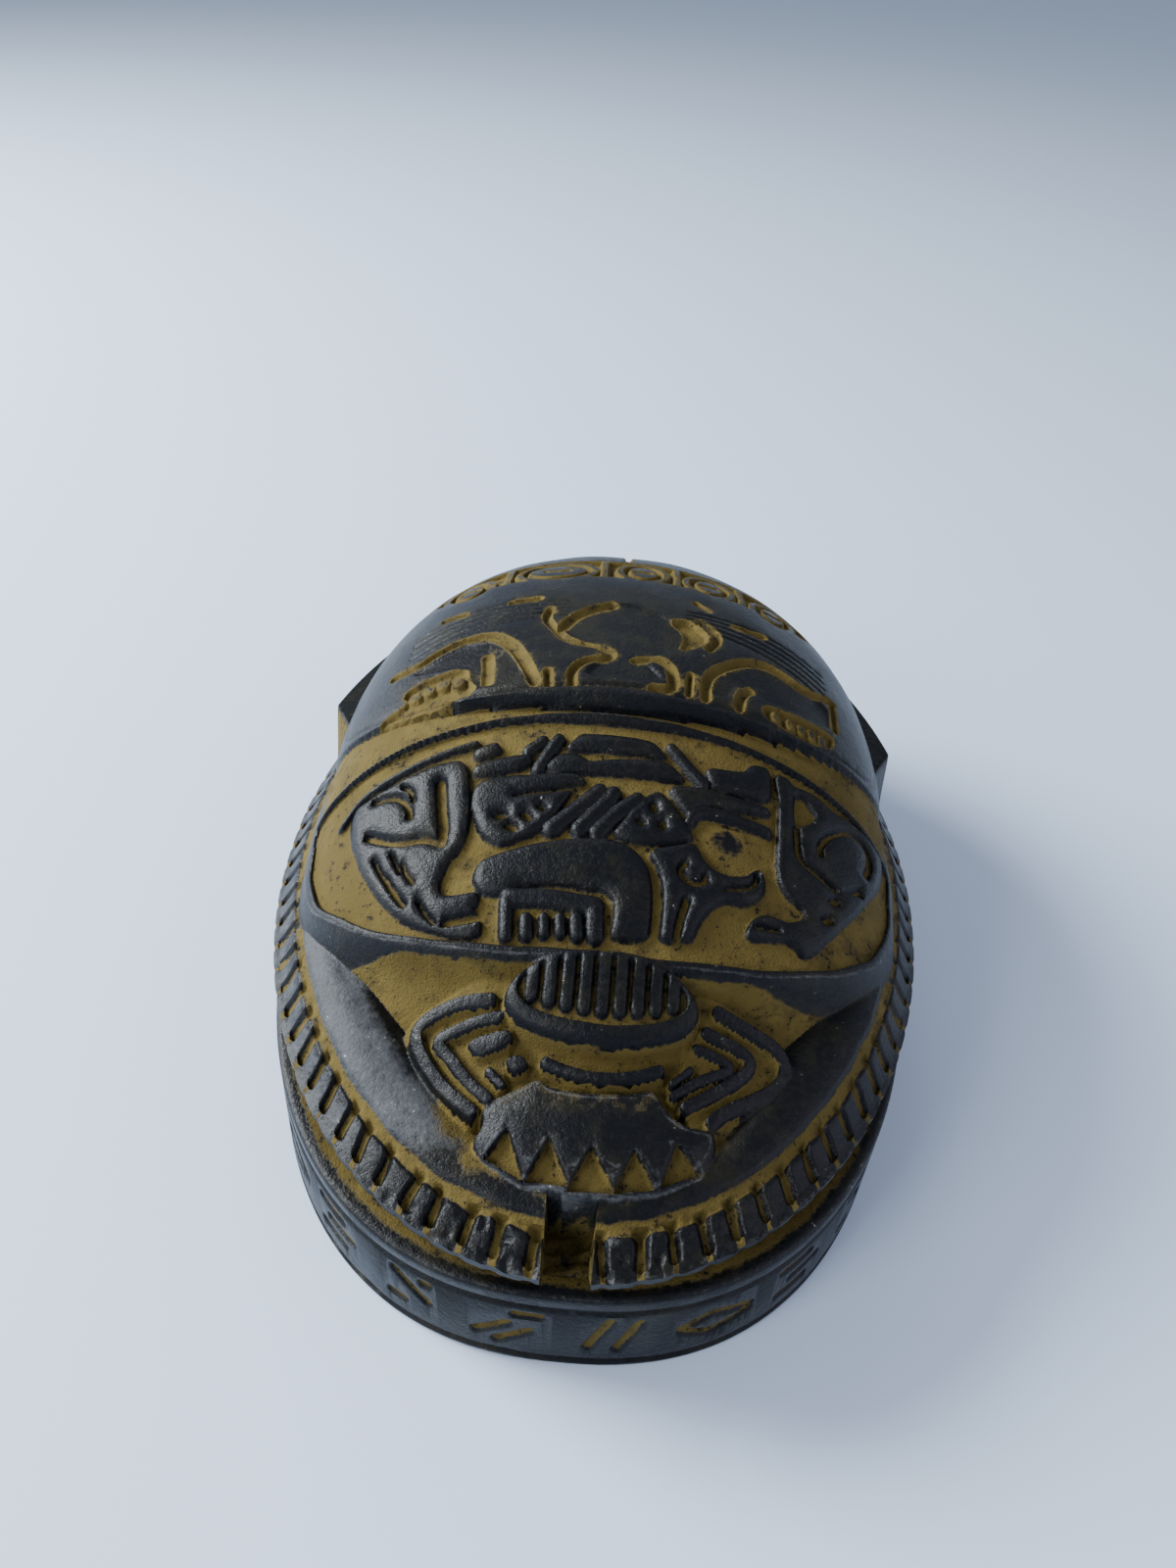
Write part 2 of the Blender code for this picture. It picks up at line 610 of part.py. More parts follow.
def wall_strokes(along, rise):
    """Return where the plain strokes lie, along the wall's length and up its height."""
    low = WALL_LINE_INSET * 0.6 + WALL_LINE_WIDTH * 1.5 + STROKE_MARGIN
    high = BASE_HEIGHT - WALL_LINE_INSET - WALL_LINE_WIDTH / 2 - STROKE_MARGIN
    middle, span = (low + high) / 2, (high - low) / 2
    kinds = [
        [((-1.0, -0.7), (-0.2, 0.8)), ((0.2, -0.8), (1.0, 0.7))],
        [((-1.5, 0.0), (-0.3, 0.5)), ((-0.3, 0.5), (1.5, 0.1)),
         ((-1.5, -0.2), (-0.3, -0.6)), ((-0.3, -0.6), (1.5, -0.2))],
        [((-1.1, 0.7), (0.5, 0.7)), ((-0.5, 0.0), (1.1, 0.0)), ((-1.1, -0.7), (0.5, -0.7))],
        [((-0.7, 0.8), (0.9, -0.2)), ((-0.9, -0.7), (-0.3, -0.7)), ((0.7, 0.8), (0.9, 0.8))],
        [((-1.3, -0.6), (0.0, 0.2)), ((-0.4, -0.9), (0.9, -0.1)), ((0.3, 0.8), (1.3, 0.8))],
    ]
    count = int(along.max() / STROKE_PITCH)
    outlines = []
    for index in range(count):
        centre = (index + 0.5) * along.max() / count
        for start, end in kinds[index % len(kinds)]:
            places = [(centre + px * span * 0.75, middle + pz * span) for px, pz in (start, end)]
            outlines.append(bar(places[0], places[1], STROKE_WIDTH))
    return raised(inside_any(along, rise, outlines))


def wall_depth(along, rise):
    """Return how deep the wall is cut at each place: two lines and the strokes."""
    cut = STROKE_DEPTH * wall_strokes(along, rise)
    for middle in (WALL_LINE_INSET * 0.6, BASE_HEIGHT - WALL_LINE_INSET):
        line = ease(1.2 - np.abs(rise - middle) / WALL_LINE_WIDTH * 2.0)
        cut = np.maximum(cut, WALL_LINE_DEPTH * line)
    return cut


def wall_length(across, along):
    """Return each direction's distance along the base's edge, from the rear round to the rear."""
    angles = np.linspace(-math.pi, math.pi, 4001)
    xs, ys = BASE.point(np.sin(angles), -np.cos(angles))
    travelled = np.concatenate([[0.0], np.cumsum(np.hypot(np.diff(xs), np.diff(ys)))])
    return np.interp(np.arctan2(across, -along), angles, travelled)


def rim_ring(across, along, share, height, gap_drop):
    """Return one ring under the skirt's edge, drawn in at the tooth grooves and the front gap."""
    x, y = SKIRT.point(across, along)
    gap = in_front_gap(x, y)
    notch = groove_depth(x, y) * NOTCH_SHARE * (share > BAND_SHARE + 0.03)
    scale = np.where(gap, 1 - GAP_SHARE - (1 - share) * 0.2, share - notch)
    z = np.where(gap, BASE_HEIGHT + GAP_FLOOR - gap_drop, height)
    return x * scale, SKIRT_CENTRE_Y + (y - SKIRT_CENTRE_Y) * scale, z


def base_ring(across, along, height, grow=0.0, share=1.0):
    """Return one ring of the base at a height."""
    return (*BASE.point(across, along, share, grow), np.full(across.shape, height))


def wall_ring(across, along, part):
    """Return one ring of the base wall, cut in at the two lines and the strokes."""
    rise = BASE_HEIGHT - BASE_EDGE - (BASE_HEIGHT - 2 * BASE_EDGE) * part
    cut = wall_depth(wall_length(across, along), np.full(across.shape, rise))
    return base_ring(across, along, rise, -cut)


def side_rings():
    """Return the rings from the skirt's edge down to the underside, each as a function."""
    neck = 1 - SKIRT_OVERHANG
    rings = [
        lambda u, v: rim_ring(u, v, 1.0, SKIRT_LOW + RIM_ROUNDING, 0.0002),
        lambda u, v: rim_ring(u, v, 0.988, SKIRT_LOW, 0.0004),
        lambda u, v: rim_ring(u, v, neck + 0.015, SKIRT_LOW + 0.0001, 0.0006),
        lambda u, v: rim_ring(u, v, neck, SKIRT_LOW - RIM_ROUNDING, 0.0008),
        lambda u, v: rim_ring(u, v, neck, BASE_HEIGHT + 0.0003, 0.0010),
        lambda u, v: base_ring(u, v, BASE_HEIGHT, -LEDGE_RIM - BASE_EDGE),
        lambda u, v: base_ring(u, v, BASE_HEIGHT, -BASE_EDGE),
    ]
    for row in range(WALL_ROWS + 1):
        rings.append(lambda u, v, part=row / WALL_ROWS: wall_ring(u, v, part))
    rings.append(lambda u, v: base_ring(u, v, 0.0, -BASE_EDGE))
    rings.append(lambda u, v: base_ring(u, v, 0.0, 0.0, 0.5))
    return rings


def make_shape():
    """Make the closed scarab from a grid, with its edge drawn down to the underside."""
    shape = bmesh.new()
    bmesh.ops.create_grid(shape, x_segments=CELLS_ACROSS, y_segments=CELLS_ALONG, size=1.0)
    level_layer = shape.verts.layers.int.new("level")
    place_layer = shape.verts.layers.float_vector.new("place")
    for vertex in shape.verts:
        vertex[place_layer] = vertex.co
    edges = [edge for edge in shape.edges if edge.is_boundary]
    for level in range(1, len(side_rings()) + 1):
        made = bmesh.ops.extrude_edge_only(shape, edges=edges)["geom"]
        edges = [item for item in made if isinstance(item, bmesh.types.BMEdge) and item.is_boundary]
        for item in made:
            if isinstance(item, bmesh.types.BMVert):
                item[level_layer] = level
    bmesh.ops.holes_fill(shape, edges=edges, sides=0)
    places = np.array([vertex[place_layer] for vertex in shape.verts])
    levels = np.array([vertex[level_layer] for vertex in shape.verts])
    u, v = places[:, 0], places[:, 1]
    across, along = u * np.sqrt(1 - v * v / 2), v * np.sqrt(1 - u * u / 2)
    return shape, across, along, levels


def set_places(shape, across, along, levels):
    """Move every point of the grid and its drawn edge to the scarab's surface."""
    where = np.zeros((len(levels), 3))
    top = levels == 0
    radius = np.hypot(across[top], along[top])
    x = across[top] * SKIRT_HALF_WIDTH
    y = SKIRT_CENTRE_Y + along[top] * np.where(along[top] > 0, SKIRT_REAR, SKIRT_FRONT)
    edge = ease(radius / 0.02 - 49.0)
    notch = groove_depth(x, y) * NOTCH_SHARE * edge
    scale = np.where(in_front_gap(x, y), 1 - GAP_SHARE * ease(radius * 8 - 7), 1 - notch)
    along_scaled = SKIRT_CENTRE_Y + (y - SKIRT_CENTRE_Y) * scale
    where[top] = np.stack([x * scale, along_scaled, top_height(x, y)], axis=1)
    for level, ring in enumerate(side_rings(), start=1):
        here = levels == level
        size = np.hypot(across[here], along[here])
        where[here] = np.stack(ring(across[here] / size, along[here] / size), axis=1)
    for vertex, place in zip(shape.verts, where):
        vertex.co = place


def make_scarab():
    """Return the scarab as one closed mesh object."""
    shape, across, along, levels = make_shape()
    set_places(shape, across, along, levels)
    bmesh.ops.triangulate(shape, faces=shape.faces)
    bmesh.ops.recalc_face_normals(shape, faces=shape.faces)
    mesh = bpy.data.meshes.new(OBJECT_NAME)
    shape.to_mesh(mesh)
    shape.free()
    return bpy.data.objects.new(OBJECT_NAME, mesh)


def keep_facets(scarab):
    """Join facets where the surface is nearly flat, so that about a set number stays."""
    modifier = scarab.modifiers.new("facets", "DECIMATE")
    modifier.ratio = FACETS / len(scarab.data.polygons)


def material():
    """Return the dark polished stone."""
    made = bpy.data.materials.new("black_stone")
    made.use_nodes = True
    shader = made.node_tree.nodes["Principled BSDF"]
    shader.inputs["Base Color"].default_value = STONE_COLOUR
    shader.inputs["Roughness"].default_value = STONE_ROUGHNESS
    shader.inputs["Metallic"].default_value = 0.0
    return made


def main():
    """Clear the scene and build the scarab."""
    for old in list(bpy.data.objects):
        bpy.data.objects.remove(old, do_unlink=True)
    parts = bpy.data.collections.new(OBJECT_NAME)
    bpy.context.scene.collection.children.link(parts)
    scarab = make_scarab()
    parts.objects.link(scarab)
    scarab.data.materials.append(material())
    keep_facets(scarab)


main()
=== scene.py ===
"""Looks of the carved stone scarab: its fine carving, the ochre in its cuts, and the studio it lies in.

One fine closed mesh stands for the solid. A grid is laid over the scarab's oval, its edge is drawn
down row by row round the legs' rim, the ledge, the wall and the underside, and its points are moved
to the carved surface. Sizes in the classes are millimetres, and the mesh is set in metres.
"""

import logging
import math
from dataclasses import dataclass, field
from enum import Enum
from typing import Callable, Sequence

import bpy
import numpy as np
from mathutils import Matrix


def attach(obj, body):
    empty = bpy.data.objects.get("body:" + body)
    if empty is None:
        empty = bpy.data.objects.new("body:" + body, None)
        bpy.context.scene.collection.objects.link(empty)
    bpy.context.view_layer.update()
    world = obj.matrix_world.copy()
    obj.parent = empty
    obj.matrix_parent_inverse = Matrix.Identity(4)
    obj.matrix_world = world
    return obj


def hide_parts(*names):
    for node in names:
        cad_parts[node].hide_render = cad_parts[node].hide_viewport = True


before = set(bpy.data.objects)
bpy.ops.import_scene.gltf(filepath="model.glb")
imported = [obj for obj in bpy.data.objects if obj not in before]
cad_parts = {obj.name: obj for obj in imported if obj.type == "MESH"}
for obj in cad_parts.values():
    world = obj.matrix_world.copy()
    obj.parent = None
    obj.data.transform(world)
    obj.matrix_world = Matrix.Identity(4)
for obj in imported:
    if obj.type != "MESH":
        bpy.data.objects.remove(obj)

logging.basicConfig(level=logging.INFO, format="%(message)s")
log = logging.getLogger("scarab")

MM = 0.001
FAR = 1.2
GROW = 0.20
STEEP = 4.0
NODE = "carved_scarab"
PIECE = "scarab_stone"
# The values that the mesh keeps at each point
VALUES = ("ink", "wash", "wear_and_sheen")
# A distance that stands for far outside a cut
OUTSIDE = 9.0
# How wide the carving's edges slope, in millimetres
CARVED_SLOPE = 0.6
# How far the finished surfaces wander, as hand work does
WANDER = 0.05
# How many waves make a ripple
WAVES = 6
# How far from its ends a side is cut when corners are softened
LINE_CORNER = 0.25
PATCH_CORNER = 0.2
Array = np.ndarray


def ease(value: Array) -> Array:
    """Return a value eased from 0 to 1."""
    value = np.clip(value, 0.0, 1.0)
    return value * value * (3 - 2 * value)


def rising(reach: Array, slope: float) -> Array:
    """Return 0 well outside an edge and 1 well inside it, eased over a slope's width."""
    return ease(reach / slope + 0.5)


def sinking(reach: Array, slope: float) -> Array:
    """Return 1 well outside an edge and 0 well inside it, eased over a slope's width."""
    return ease(0.5 - reach / slope)


def ripple(x: Array, y: Array, size: float, seed: int) -> Array:
    """Return gentle hand-made waves between about -1 and 1.

    Args:
        x: Places across, in millimetres.
        y: Places along, in millimetres.
        size: The waves' length in millimetres.
        seed: Which set of waves to take.

    Returns:
        The waves' height at each place.
    """
    dice = np.random.default_rng(seed)
    total = np.zeros(np.shape(x))
    for _ in range(WAVES):
        angle, phase = dice.uniform(0, 2 * math.pi, 2)
        pull = 2 * math.pi / (size * dice.uniform(0.7, 1.5))
        total += np.sin((x * math.cos(angle) + y * math.sin(angle)) * pull + phase)
    return total / (WAVES / 2)


class Kind(Enum):
    """Whether a mark stands up from the field or is cut into it."""

    RAISED = 1
    CUT = -1


class Side(Enum):
    """The two sides of the scarab."""

    LEFT = -1
    RIGHT = 1


def cut_corners(places: Array, after: Array, share: float) -> Array:
    """Return two places on each side of an outline, at a share of its length from its ends."""
    keep = 1 - share
    return np.stack([places * keep + after * share, places * share + after * keep], 1).reshape(-1, 2)


@dataclass(frozen=True)
class Mark:
    """One carved mark in plan: a closed patch, or a line with round ends and a width."""

    kind: Kind
    points: tuple
    width: float = 0.0

    def softened(self) -> Array:
        """Return the mark's points with the corners cut twice."""
        places = np.array(self.points, dtype=float)
        if len(places) < 3 or (len(places) == 3 and not self.width):
            return places
        for _ in range(2):
            after = np.roll(places, -1, axis=0)
            if self.width:
                inner = cut_corners(places[:-1], after[:-1], LINE_CORNER)
                places = np.vstack([places[:1], inner, places[-1:]])
            else:
                places = cut_corners(places, after, PATCH_CORNER)
        return places

    def reach(self, x: Array, y: Array) -> tuple[Array, Array]:
        """Measure how far places lie inside the mark.

        Args:
            x: Places across.
            y: Places along.

        Returns:
            A mask of the places near the mark, and their distance inside its edge.
        """
        places = self.softened()
        margin = FAR + self.width / 2
        low, high = places.min(axis=0) - margin, places.max(axis=0) + margin
        near = (x > low[0]) & (x < high[0]) & (y > low[1]) & (y < high[1])
        px, py = x[near], y[near]
        nearest = np.full(px.shape, 99.0)
        inner = np.zeros(px.shape, dtype=bool)
        ends = places[1:] if self.width else np.roll(places, -1, axis=0)
        for (x0, y0), (x1, y1) in zip(places, ends):
            run, rise = x1 - x0, y1 - y0
            along = np.clip(((px - x0) * run + (py - y0) * rise) / (run * run + rise * rise + 1e-9), 0.0, 1.0)
            nearest = np.minimum(nearest, np.hypot(px - x0 - along * run, py - y0 - along * rise))
            if rise and not self.width:
                inner ^= ((y0 > py) != (y1 > py)) & (px < x0 + (py - y0) * run / rise)
        if self.width:
            return near, self.width / 2 - nearest
        return near, np.where(inner, nearest, -nearest)


def patch(*points: tuple) -> Mark:
    """Return a raised patch."""
    return Mark(Kind.RAISED, points)


def line(width: float, *points: tuple) -> Mark:
    """Return a raised line."""
    return Mark(Kind.RAISED, points, width)


def cut_patch(*points: tuple) -> Mark:
    """Return a patch that is cut in."""
    return Mark(Kind.CUT, points)


def cut_line(width: float, *points: tuple) -> Mark:
    """Return a line that is cut in."""
    return Mark(Kind.CUT, points, width)


def oval(centre: tuple, half_width: float, half_length: float, first: float = 0.0, last: float = 360.0,
         count: int = 16) -> list[tuple]:
    """Return places on an ellipse between two angles in degrees."""
    angles = np.radians(np.linspace(first, last, count, endpoint=last - first < 360))
    return [(centre[0] + half_width * math.cos(a), centre[1] + half_length * math.sin(a)) for a in angles]


def carve(marks: Sequence[Mark], x: Array, y: Array, start: float) -> Array:
    """Lay marks on a field one after the other.

    Args:
        marks: The marks, in the order in which they are cut or raised.
        x: Places across.
        y: Places along.
        start: The distance that holds before the marks, less than 0 for low ground.

    Returns:
        How far each place lies inside raised stone, less than 0 on low ground.
    """
    depth = np.full(x.shape, start)
    for mark in marks:
        near, reach = mark.reach(x, y)
        part = depth[near]
        depth[near] = np.maximum(part, reach + GROW) if mark.kind is Kind.RAISED else np.minimum(part, -reach)
    return depth


@dataclass(frozen=True)
class Oval:
    """An oval seen from above, with its own front and rear halves."""

    centre_y: float
    half_width: float
    front: float
    rear: float
    front_power: float
    rear_power: float

    def half(self, along: Array) -> tuple[Array, Array]:
        """Return the half length and the power that hold in front of or behind the centre."""
        length = np.where(along > 0, self.rear, self.front)
        return length, np.where(along > 0, self.rear_power, self.front_power)

    def point(self, across: Array, along: Array, share: float = 1.0,
              grow: Array = 0.0) -> tuple[Array, Array]:
        """Find the place for a direction on the unit circle.

        Args:
            across: The direction's part across.
            along: The direction's part along.
            share: By how much the oval is scaled.
            grow: By how much it is widened after that.

        Returns:
            The place on the scaled and widened oval.
        """
        length, power = self.half(along)
        x = np.sign(across) * np.abs(across) ** (2 / power) * (self.half_width * share + grow)
        y = np.sign(along) * np.abs(along) ** (2 / power) * (length * share + grow)
        return x, self.centre_y + y

    def share(self, x: Array, y: Array) -> Array:
        """Return 0 at the centre, 1 on the oval and more outside it."""
        length, power = self.half(y - self.centre_y)
        total = np.abs(x / self.half_width) ** power + np.abs((y - self.centre_y) / length) ** power
        return total ** (1 / power)

    def depth(self, x: Array, y: Array) -> Array:
        """Return about how far a place lies inside the oval, less than 0 outside it."""
        share = np.maximum(self.share(x, y), 0.05)
        return (1 / share - 1) * np.hypot(x, y - self.centre_y)

    def edge_point(self, x: Array, y: Array) -> tuple[Array, Array]:
        """Return the place on the oval that lies on the way from its centre."""
        share = np.maximum(self.share(x, y), 0.05)
        return x / share, self.centre_y + (y - self.centre_y) / share


@dataclass
class Skin:
    """What holds at each point of the carved surface.

    The ink is 0 on raised stone and 1 deep in a cut, the wash is the soft ochre smear, and the third value
    is how far an edge is rubbed grey, together with painted sheen on the legs' arms and teeth's tops.
    """

    height: Array
    ink: Array
    wash: Array
    wear_and_sheen: Array

    def put(self, where: Array, other: "Skin") -> None:
        """Take another skin's values where the mask holds."""
        for name in ("height", *VALUES):
            setattr(self, name, np.where(where, getattr(other, name), getattr(self, name)))


def ink_of(depth: Array) -> Array:
    """Return the ink for a distance inside raised stone, in millimetres."""
    return np.clip(0.5 - depth / 1.6, 0.0, 1.0)


def rubbed(depth: Array, low: float = 0.05, high: float = 0.75) -> Array:
    """Return where the rounded shoulder of a raised form is rubbed, just inside its edge."""
    middle, half = (low + high) / 2, (high - low) / 2
    return np.clip(1 - np.abs(depth - middle) / half, 0.0, 1.0)


@dataclass(frozen=True)
class Legs:
    """The legs, which lie on the base as an oval skirt with a toothed band."""

    plan: Oval = Oval(-2.9, 44.94, 64.7, 65.45, 2.0, 2.0)
    low: float = 18.4
    edge: float = 1.5
    band_share: float = 0.920
    band_rise: float = 6.9
    band_drop: float = 3.3
    arm_rise: float = 1.8
    arm_inner: float = 0.715
    arm_taper: float = 0.12
    recess_rise: float = 1.6
    gap_width: float = 5.4
    gap_depth: float = 10.0
    gap_floor: float = 16.2
    gap_share: float = 0.045
    tooth_pitch: float = 4.0
    tooth_groove: float = 0.95
    tooth_depth: float = 1.05
    tooth_reach_y: float = 13.0
    tooth_slant: float = 0.70
    lip_share: float = 0.978
    notch_share: float = 0.003
    line_width: float = 1.2
    # How strong the painted sheen on the arms is
    painted_sheen: float = 0.90

    @property
    def front_y(self) -> float:
        """Return the skirt's front end."""
        return self.plan.centre_y - self.plan.front

    @property
    def top(self) -> float:
        """Return the height of the thin outer edge."""
        return self.low + self.edge

    @property
    def recess(self) -> float:
        """Return the height of the recess inside the arms."""
        return self.top + self.recess_rise

    @property
    def band_top(self) -> float:
        """Return the height of the band at the sides."""
        return self.low + self.band_rise

    def front_share(self, y: Array) -> Array:
        """Return 0 at the skirt's widest place and 1 at its front end."""
        return ease((self.plan.centre_y - y) / self.plan.front * 2.0 - 0.9)

    def inner_share(self, y: Array) -> Array:
        """Return the share at which the arms end inwards, nearer the band towards the front."""
        return self.arm_inner + self.arm_taper * self.front_share(y)

    def profile(self, y: Array, share: Array) -> Array:
        """Return the height of the legs' cross-section.

        Args:
            y: Places along.
            share: Their share of the skirt's oval.

        Returns:
            The recess inside, the arm, the band and the thin outer edge, one after the other.
        """
        front = self.front_share(y)
        band = self.band_top - self.band_drop * front
        arm = band + self.arm_rise * (1 - 0.6 * front)
        inner = self.inner_share(y)
        width = self.band_share - inner
        flat = self.recess + 0 * y
        stations = [(-0.2, flat), (inner - 0.05, flat), (inner + width * 0.1, arm - 1.6),
                    (inner + width * 0.35, arm), (inner + width * 0.7, arm), (self.band_share, band + 0.2),
                    (0.988, self.top + 0.4), (1.08, self.top - 1.0)]
        height = flat
        for (low_share, low), (high_share, high) in zip(stations, stations[1:]):
            part = (share - low_share) / (high_share - low_share)
            height = np.where((part >= 0) & (part <= 1), low + (high - low) * part, height)
        return height

    def grooves(self) -> list[tuple]:
        """Lay the slanting grooves between the teeth at even steps along the edge.

        Returns:
            The grooves of both sides, each as two ends and a width.
        """
        angles = np.linspace(-math.pi / 2, math.pi / 2, 2000)
        xs, ys = self.plan.point(np.cos(angles), np.sin(angles))
        travelled = np.concatenate([[0.0], np.cumsum(np.hypot(np.diff(xs), np.diff(ys)))])
        reach = np.interp(self.tooth_reach_y, ys, travelled)
        dice = np.random.default_rng(7)
        grooves = []
        for distance in np.arange(self.tooth_pitch, reach, self.tooth_pitch):
            x, y = float(np.interp(distance, travelled, xs)), float(np.interp(distance, travelled, ys))
            from_centre = np.array([x, y - self.plan.centre_y])
            normal = from_centre / np.array([self.plan.half_width ** 2, self.plan.front ** 2])
            normal /= np.hypot(*normal)
            lean = self.tooth_slant * ease((self.plan.centre_y - y) / self.plan.front * 1.6 - 0.5)
            slant = normal - np.array([0.0, lean])
            slant /= np.hypot(*slant)
            band = (1 - self.band_share) * float(normal @ from_centre) / float(slant @ normal)
            for side in Side:
                turn = dice.uniform(-0.12, 0.12)
                width = self.tooth_groove * dice.uniform(0.8, 1.25)
                aim = np.array([slant[0] - turn * slant[1], slant[1] + turn * slant[0]])
                start, end = np.array([x, y]) - aim * band, np.array([x, y]) + aim * 2.0
                grooves.append(((side.value * start[0], start[1]), (side.value * end[0], end[1]), width))
        return grooves

    def groove_reach(self, x: Array, y: Array) -> Array:
        """Measure how far places lie from the edge of the nearest groove.

        Args:
            x: Places across.
            y: Places along.

        Returns:
            The distance, less than 0 in a groove.
        """
        away = np.full(x.shape, OUTSIDE)
        for (x0, y0), (x1, y1), width in self.grooves():
            run, rise = x1 - x0, y1 - y0
            along = np.clip(((x - x0) * run + (y - y0) * rise) / (run * run + rise * rise), 0.0, 1.0)
            away = np.minimum(away, np.hypot(x - x0 - along * run, y - y0 - along * rise) - width / 2)
        return away

    def in_gap(self, x: Array, y: Array) -> Array:
        """Return which places lie in the gap between the front legs."""
        return (np.abs(x) < self.gap_width / 2) & (y < self.front_y + self.gap_depth)

    def tooth_cut(self, reach: Array) -> Array:
        """Return the share of a groove's depth at a distance from its edge."""
        return ease(0.55 - reach / 0.9)

    def notch(self, x: Array, y: Array) -> Array:
        """Return how far the outer edge is drawn in at the grooves, as a share of the oval."""
        return self.tooth_cut(self.groove_reach(x, y)) * self.notch_share

    def recess_wash(self, x: Array, y: Array, share: Array) -> Array:
        """Return the ochre smear in the recess, which reaches further out towards the front."""
        reach = np.clip(0.62 - 0.0095 * (y + 29.0), 0.64, 0.87) + 0.055
        return ease((reach + 0.015 * ripple(x, y, 6.0, 9) - share) / 0.11) * (share < 0.905)

    def wear_and_sheen(self, x: Array, y: Array, share: Array, cut: Array) -> Array:
        """Return the painted sheen of the arms, the teeth's tops partly rubbed grey and partly painted sheen,
        and the rubbed grey of the thin outer edge.

        Args:
            x: Places across.
            y: Places along.
            share: Their share of the skirt's oval.
            cut: Their distance from the nearest cut.

        Returns:
            The rubbed grey and painted sheen, which are least at the right and near the front.
        """
        in_band = share > self.band_share
        # Painted highlight: the left side is made lighter than the right, and less so near the front
        left = 0.30 + 0.70 * sinking(x, 16.0)
        left *= 1 - 0.55 * ease((-y - 52.0) / 9.0)
        # Painted sheen along the outer part of each arm, inside the band
        painted_sheen = ease(1.25 - np.abs(share - self.band_share + 0.06) / 0.12) * (1 - in_band)
        # The teeth's tops get painted sheen on the left, and rubbed grey along their cut edges
        tops = 0.82 * left * ease((cut - 0.10) / 0.35)
        tops = in_band * np.maximum(tops, 0.35 * rubbed(cut, 0.0, 0.5))
        return np.maximum(np.maximum(self.painted_sheen * left * painted_sheen, tops), 0.7 * ease((share - 0.984) / 0.01))

    def skin(self, x: Array, y: Array) -> Skin:
        """Lay out the legs, with the recess inside them and the gap in front.

        Args:
            x: Places across.
            y: Places along.

        Returns:
            Their skin, which holds everywhere.
        """
        share = self.plan.share(x, y)
        height = sum(self.profile(y, share + step * 0.006) for step in range(-3, 4)) / 7
        height = height + 0.06 * ripple(x, y, 7.0, 3)
        line_reach = np.abs(share - self.band_share) * self.plan.half_width - self.line_width / 2
        line_reach = line_reach + 0.10 * ripple(x, y, 5.0, 4)
        groove = self.groove_reach(x, y) + 0.08 * ripple(x, y, 2.5, 5)
        in_band = share > self.band_share
        cut = np.minimum(line_reach, np.where(in_band, groove, OUTSIDE))
        groove = groove + 2.0 * ease((share - self.lip_share) / 0.022)
        height = height - self.tooth_depth * self.tooth_cut(np.where(in_band, groove, OUTSIDE))
        height = height - self.line_width * 0.45 * sinking(line_reach, CARVED_SLOPE)
        crumbly = ease((-y - 55.0) / 8.0) * in_band
        height = height - 0.35 * crumbly * np.maximum(ripple(x, y, 2.0, 6), 0.0)
        ink = np.where(share > self.inner_share(y), ink_of(cut), 0.5)
        # The last value holds rubbed grey and the painted sheen of the arms and teeth's tops
        skin = Skin(height, ink, self.recess_wash(x, y, share), self.wear_and_sheen(x, y, share, cut))
        gap = self.in_gap(x, y)
        floor = self.gap_floor + 0.25 * ripple(x, y, 3.0, 8)
        skin.put(gap, Skin(floor, np.full(x.shape, 0.2), np.full(x.shape, 0.66), np.zeros(x.shape)))
        beside = ease(1 - (np.abs(x) - self.gap_width / 2)) * (y < self.front_y + self.gap_depth + 1.0)
        skin.wash = np.maximum(skin.wash, 0.52 * beside * (1 - gap))
        return skin


@dataclass(frozen=True)
class Knees:
    """The pointed knees of the middle legs, which stand out beside the wing cases."""

    reach: float = 44.8
    height: float = 29.5
    side: float = 1.2

    def outline(self, side: Side) -> Mark:
        """Return one knee in plan."""
        places = [(33.0, 4.0), (38.6, 8.6), (self.reach, 19.6), (self.reach, 22.6), (39.5, 33.0),
                  (33.0, 36.0)]
        return Mark(Kind.RAISED, tuple((side.value * x, y) for x, y in places))

    def add(self, skin: Skin, x: Array, y: Array) -> None:
        """Raise both knees out of the skin.

        Args:
            skin: The legs' skin, which is changed.
            x: Places across.
            y: Places along.
        """
        for side in Side:
            near, reach = self.outline(side).reach(x, y)
            rise = rising(reach, self.side)
            skin.height[near] += (self.height - skin.height[near]) * rise
            face = (rise > 0.02) & (rise < 0.97) & (y[near] < 19.0)
            smear = 0.85 if side is Side.LEFT else 0.25
            skin.wash[near] = np.where(face, smear, skin.wash[near] * (1 - rise))
            skin.ink[near] = np.where(rise > 0.05, 0.0, skin.ink[near])
            skin.wear_and_sheen[near] = np.maximum(skin.wear_and_sheen[near] * (1 - rise), 0.7 * rubbed(rise, 0.5, 1.0))


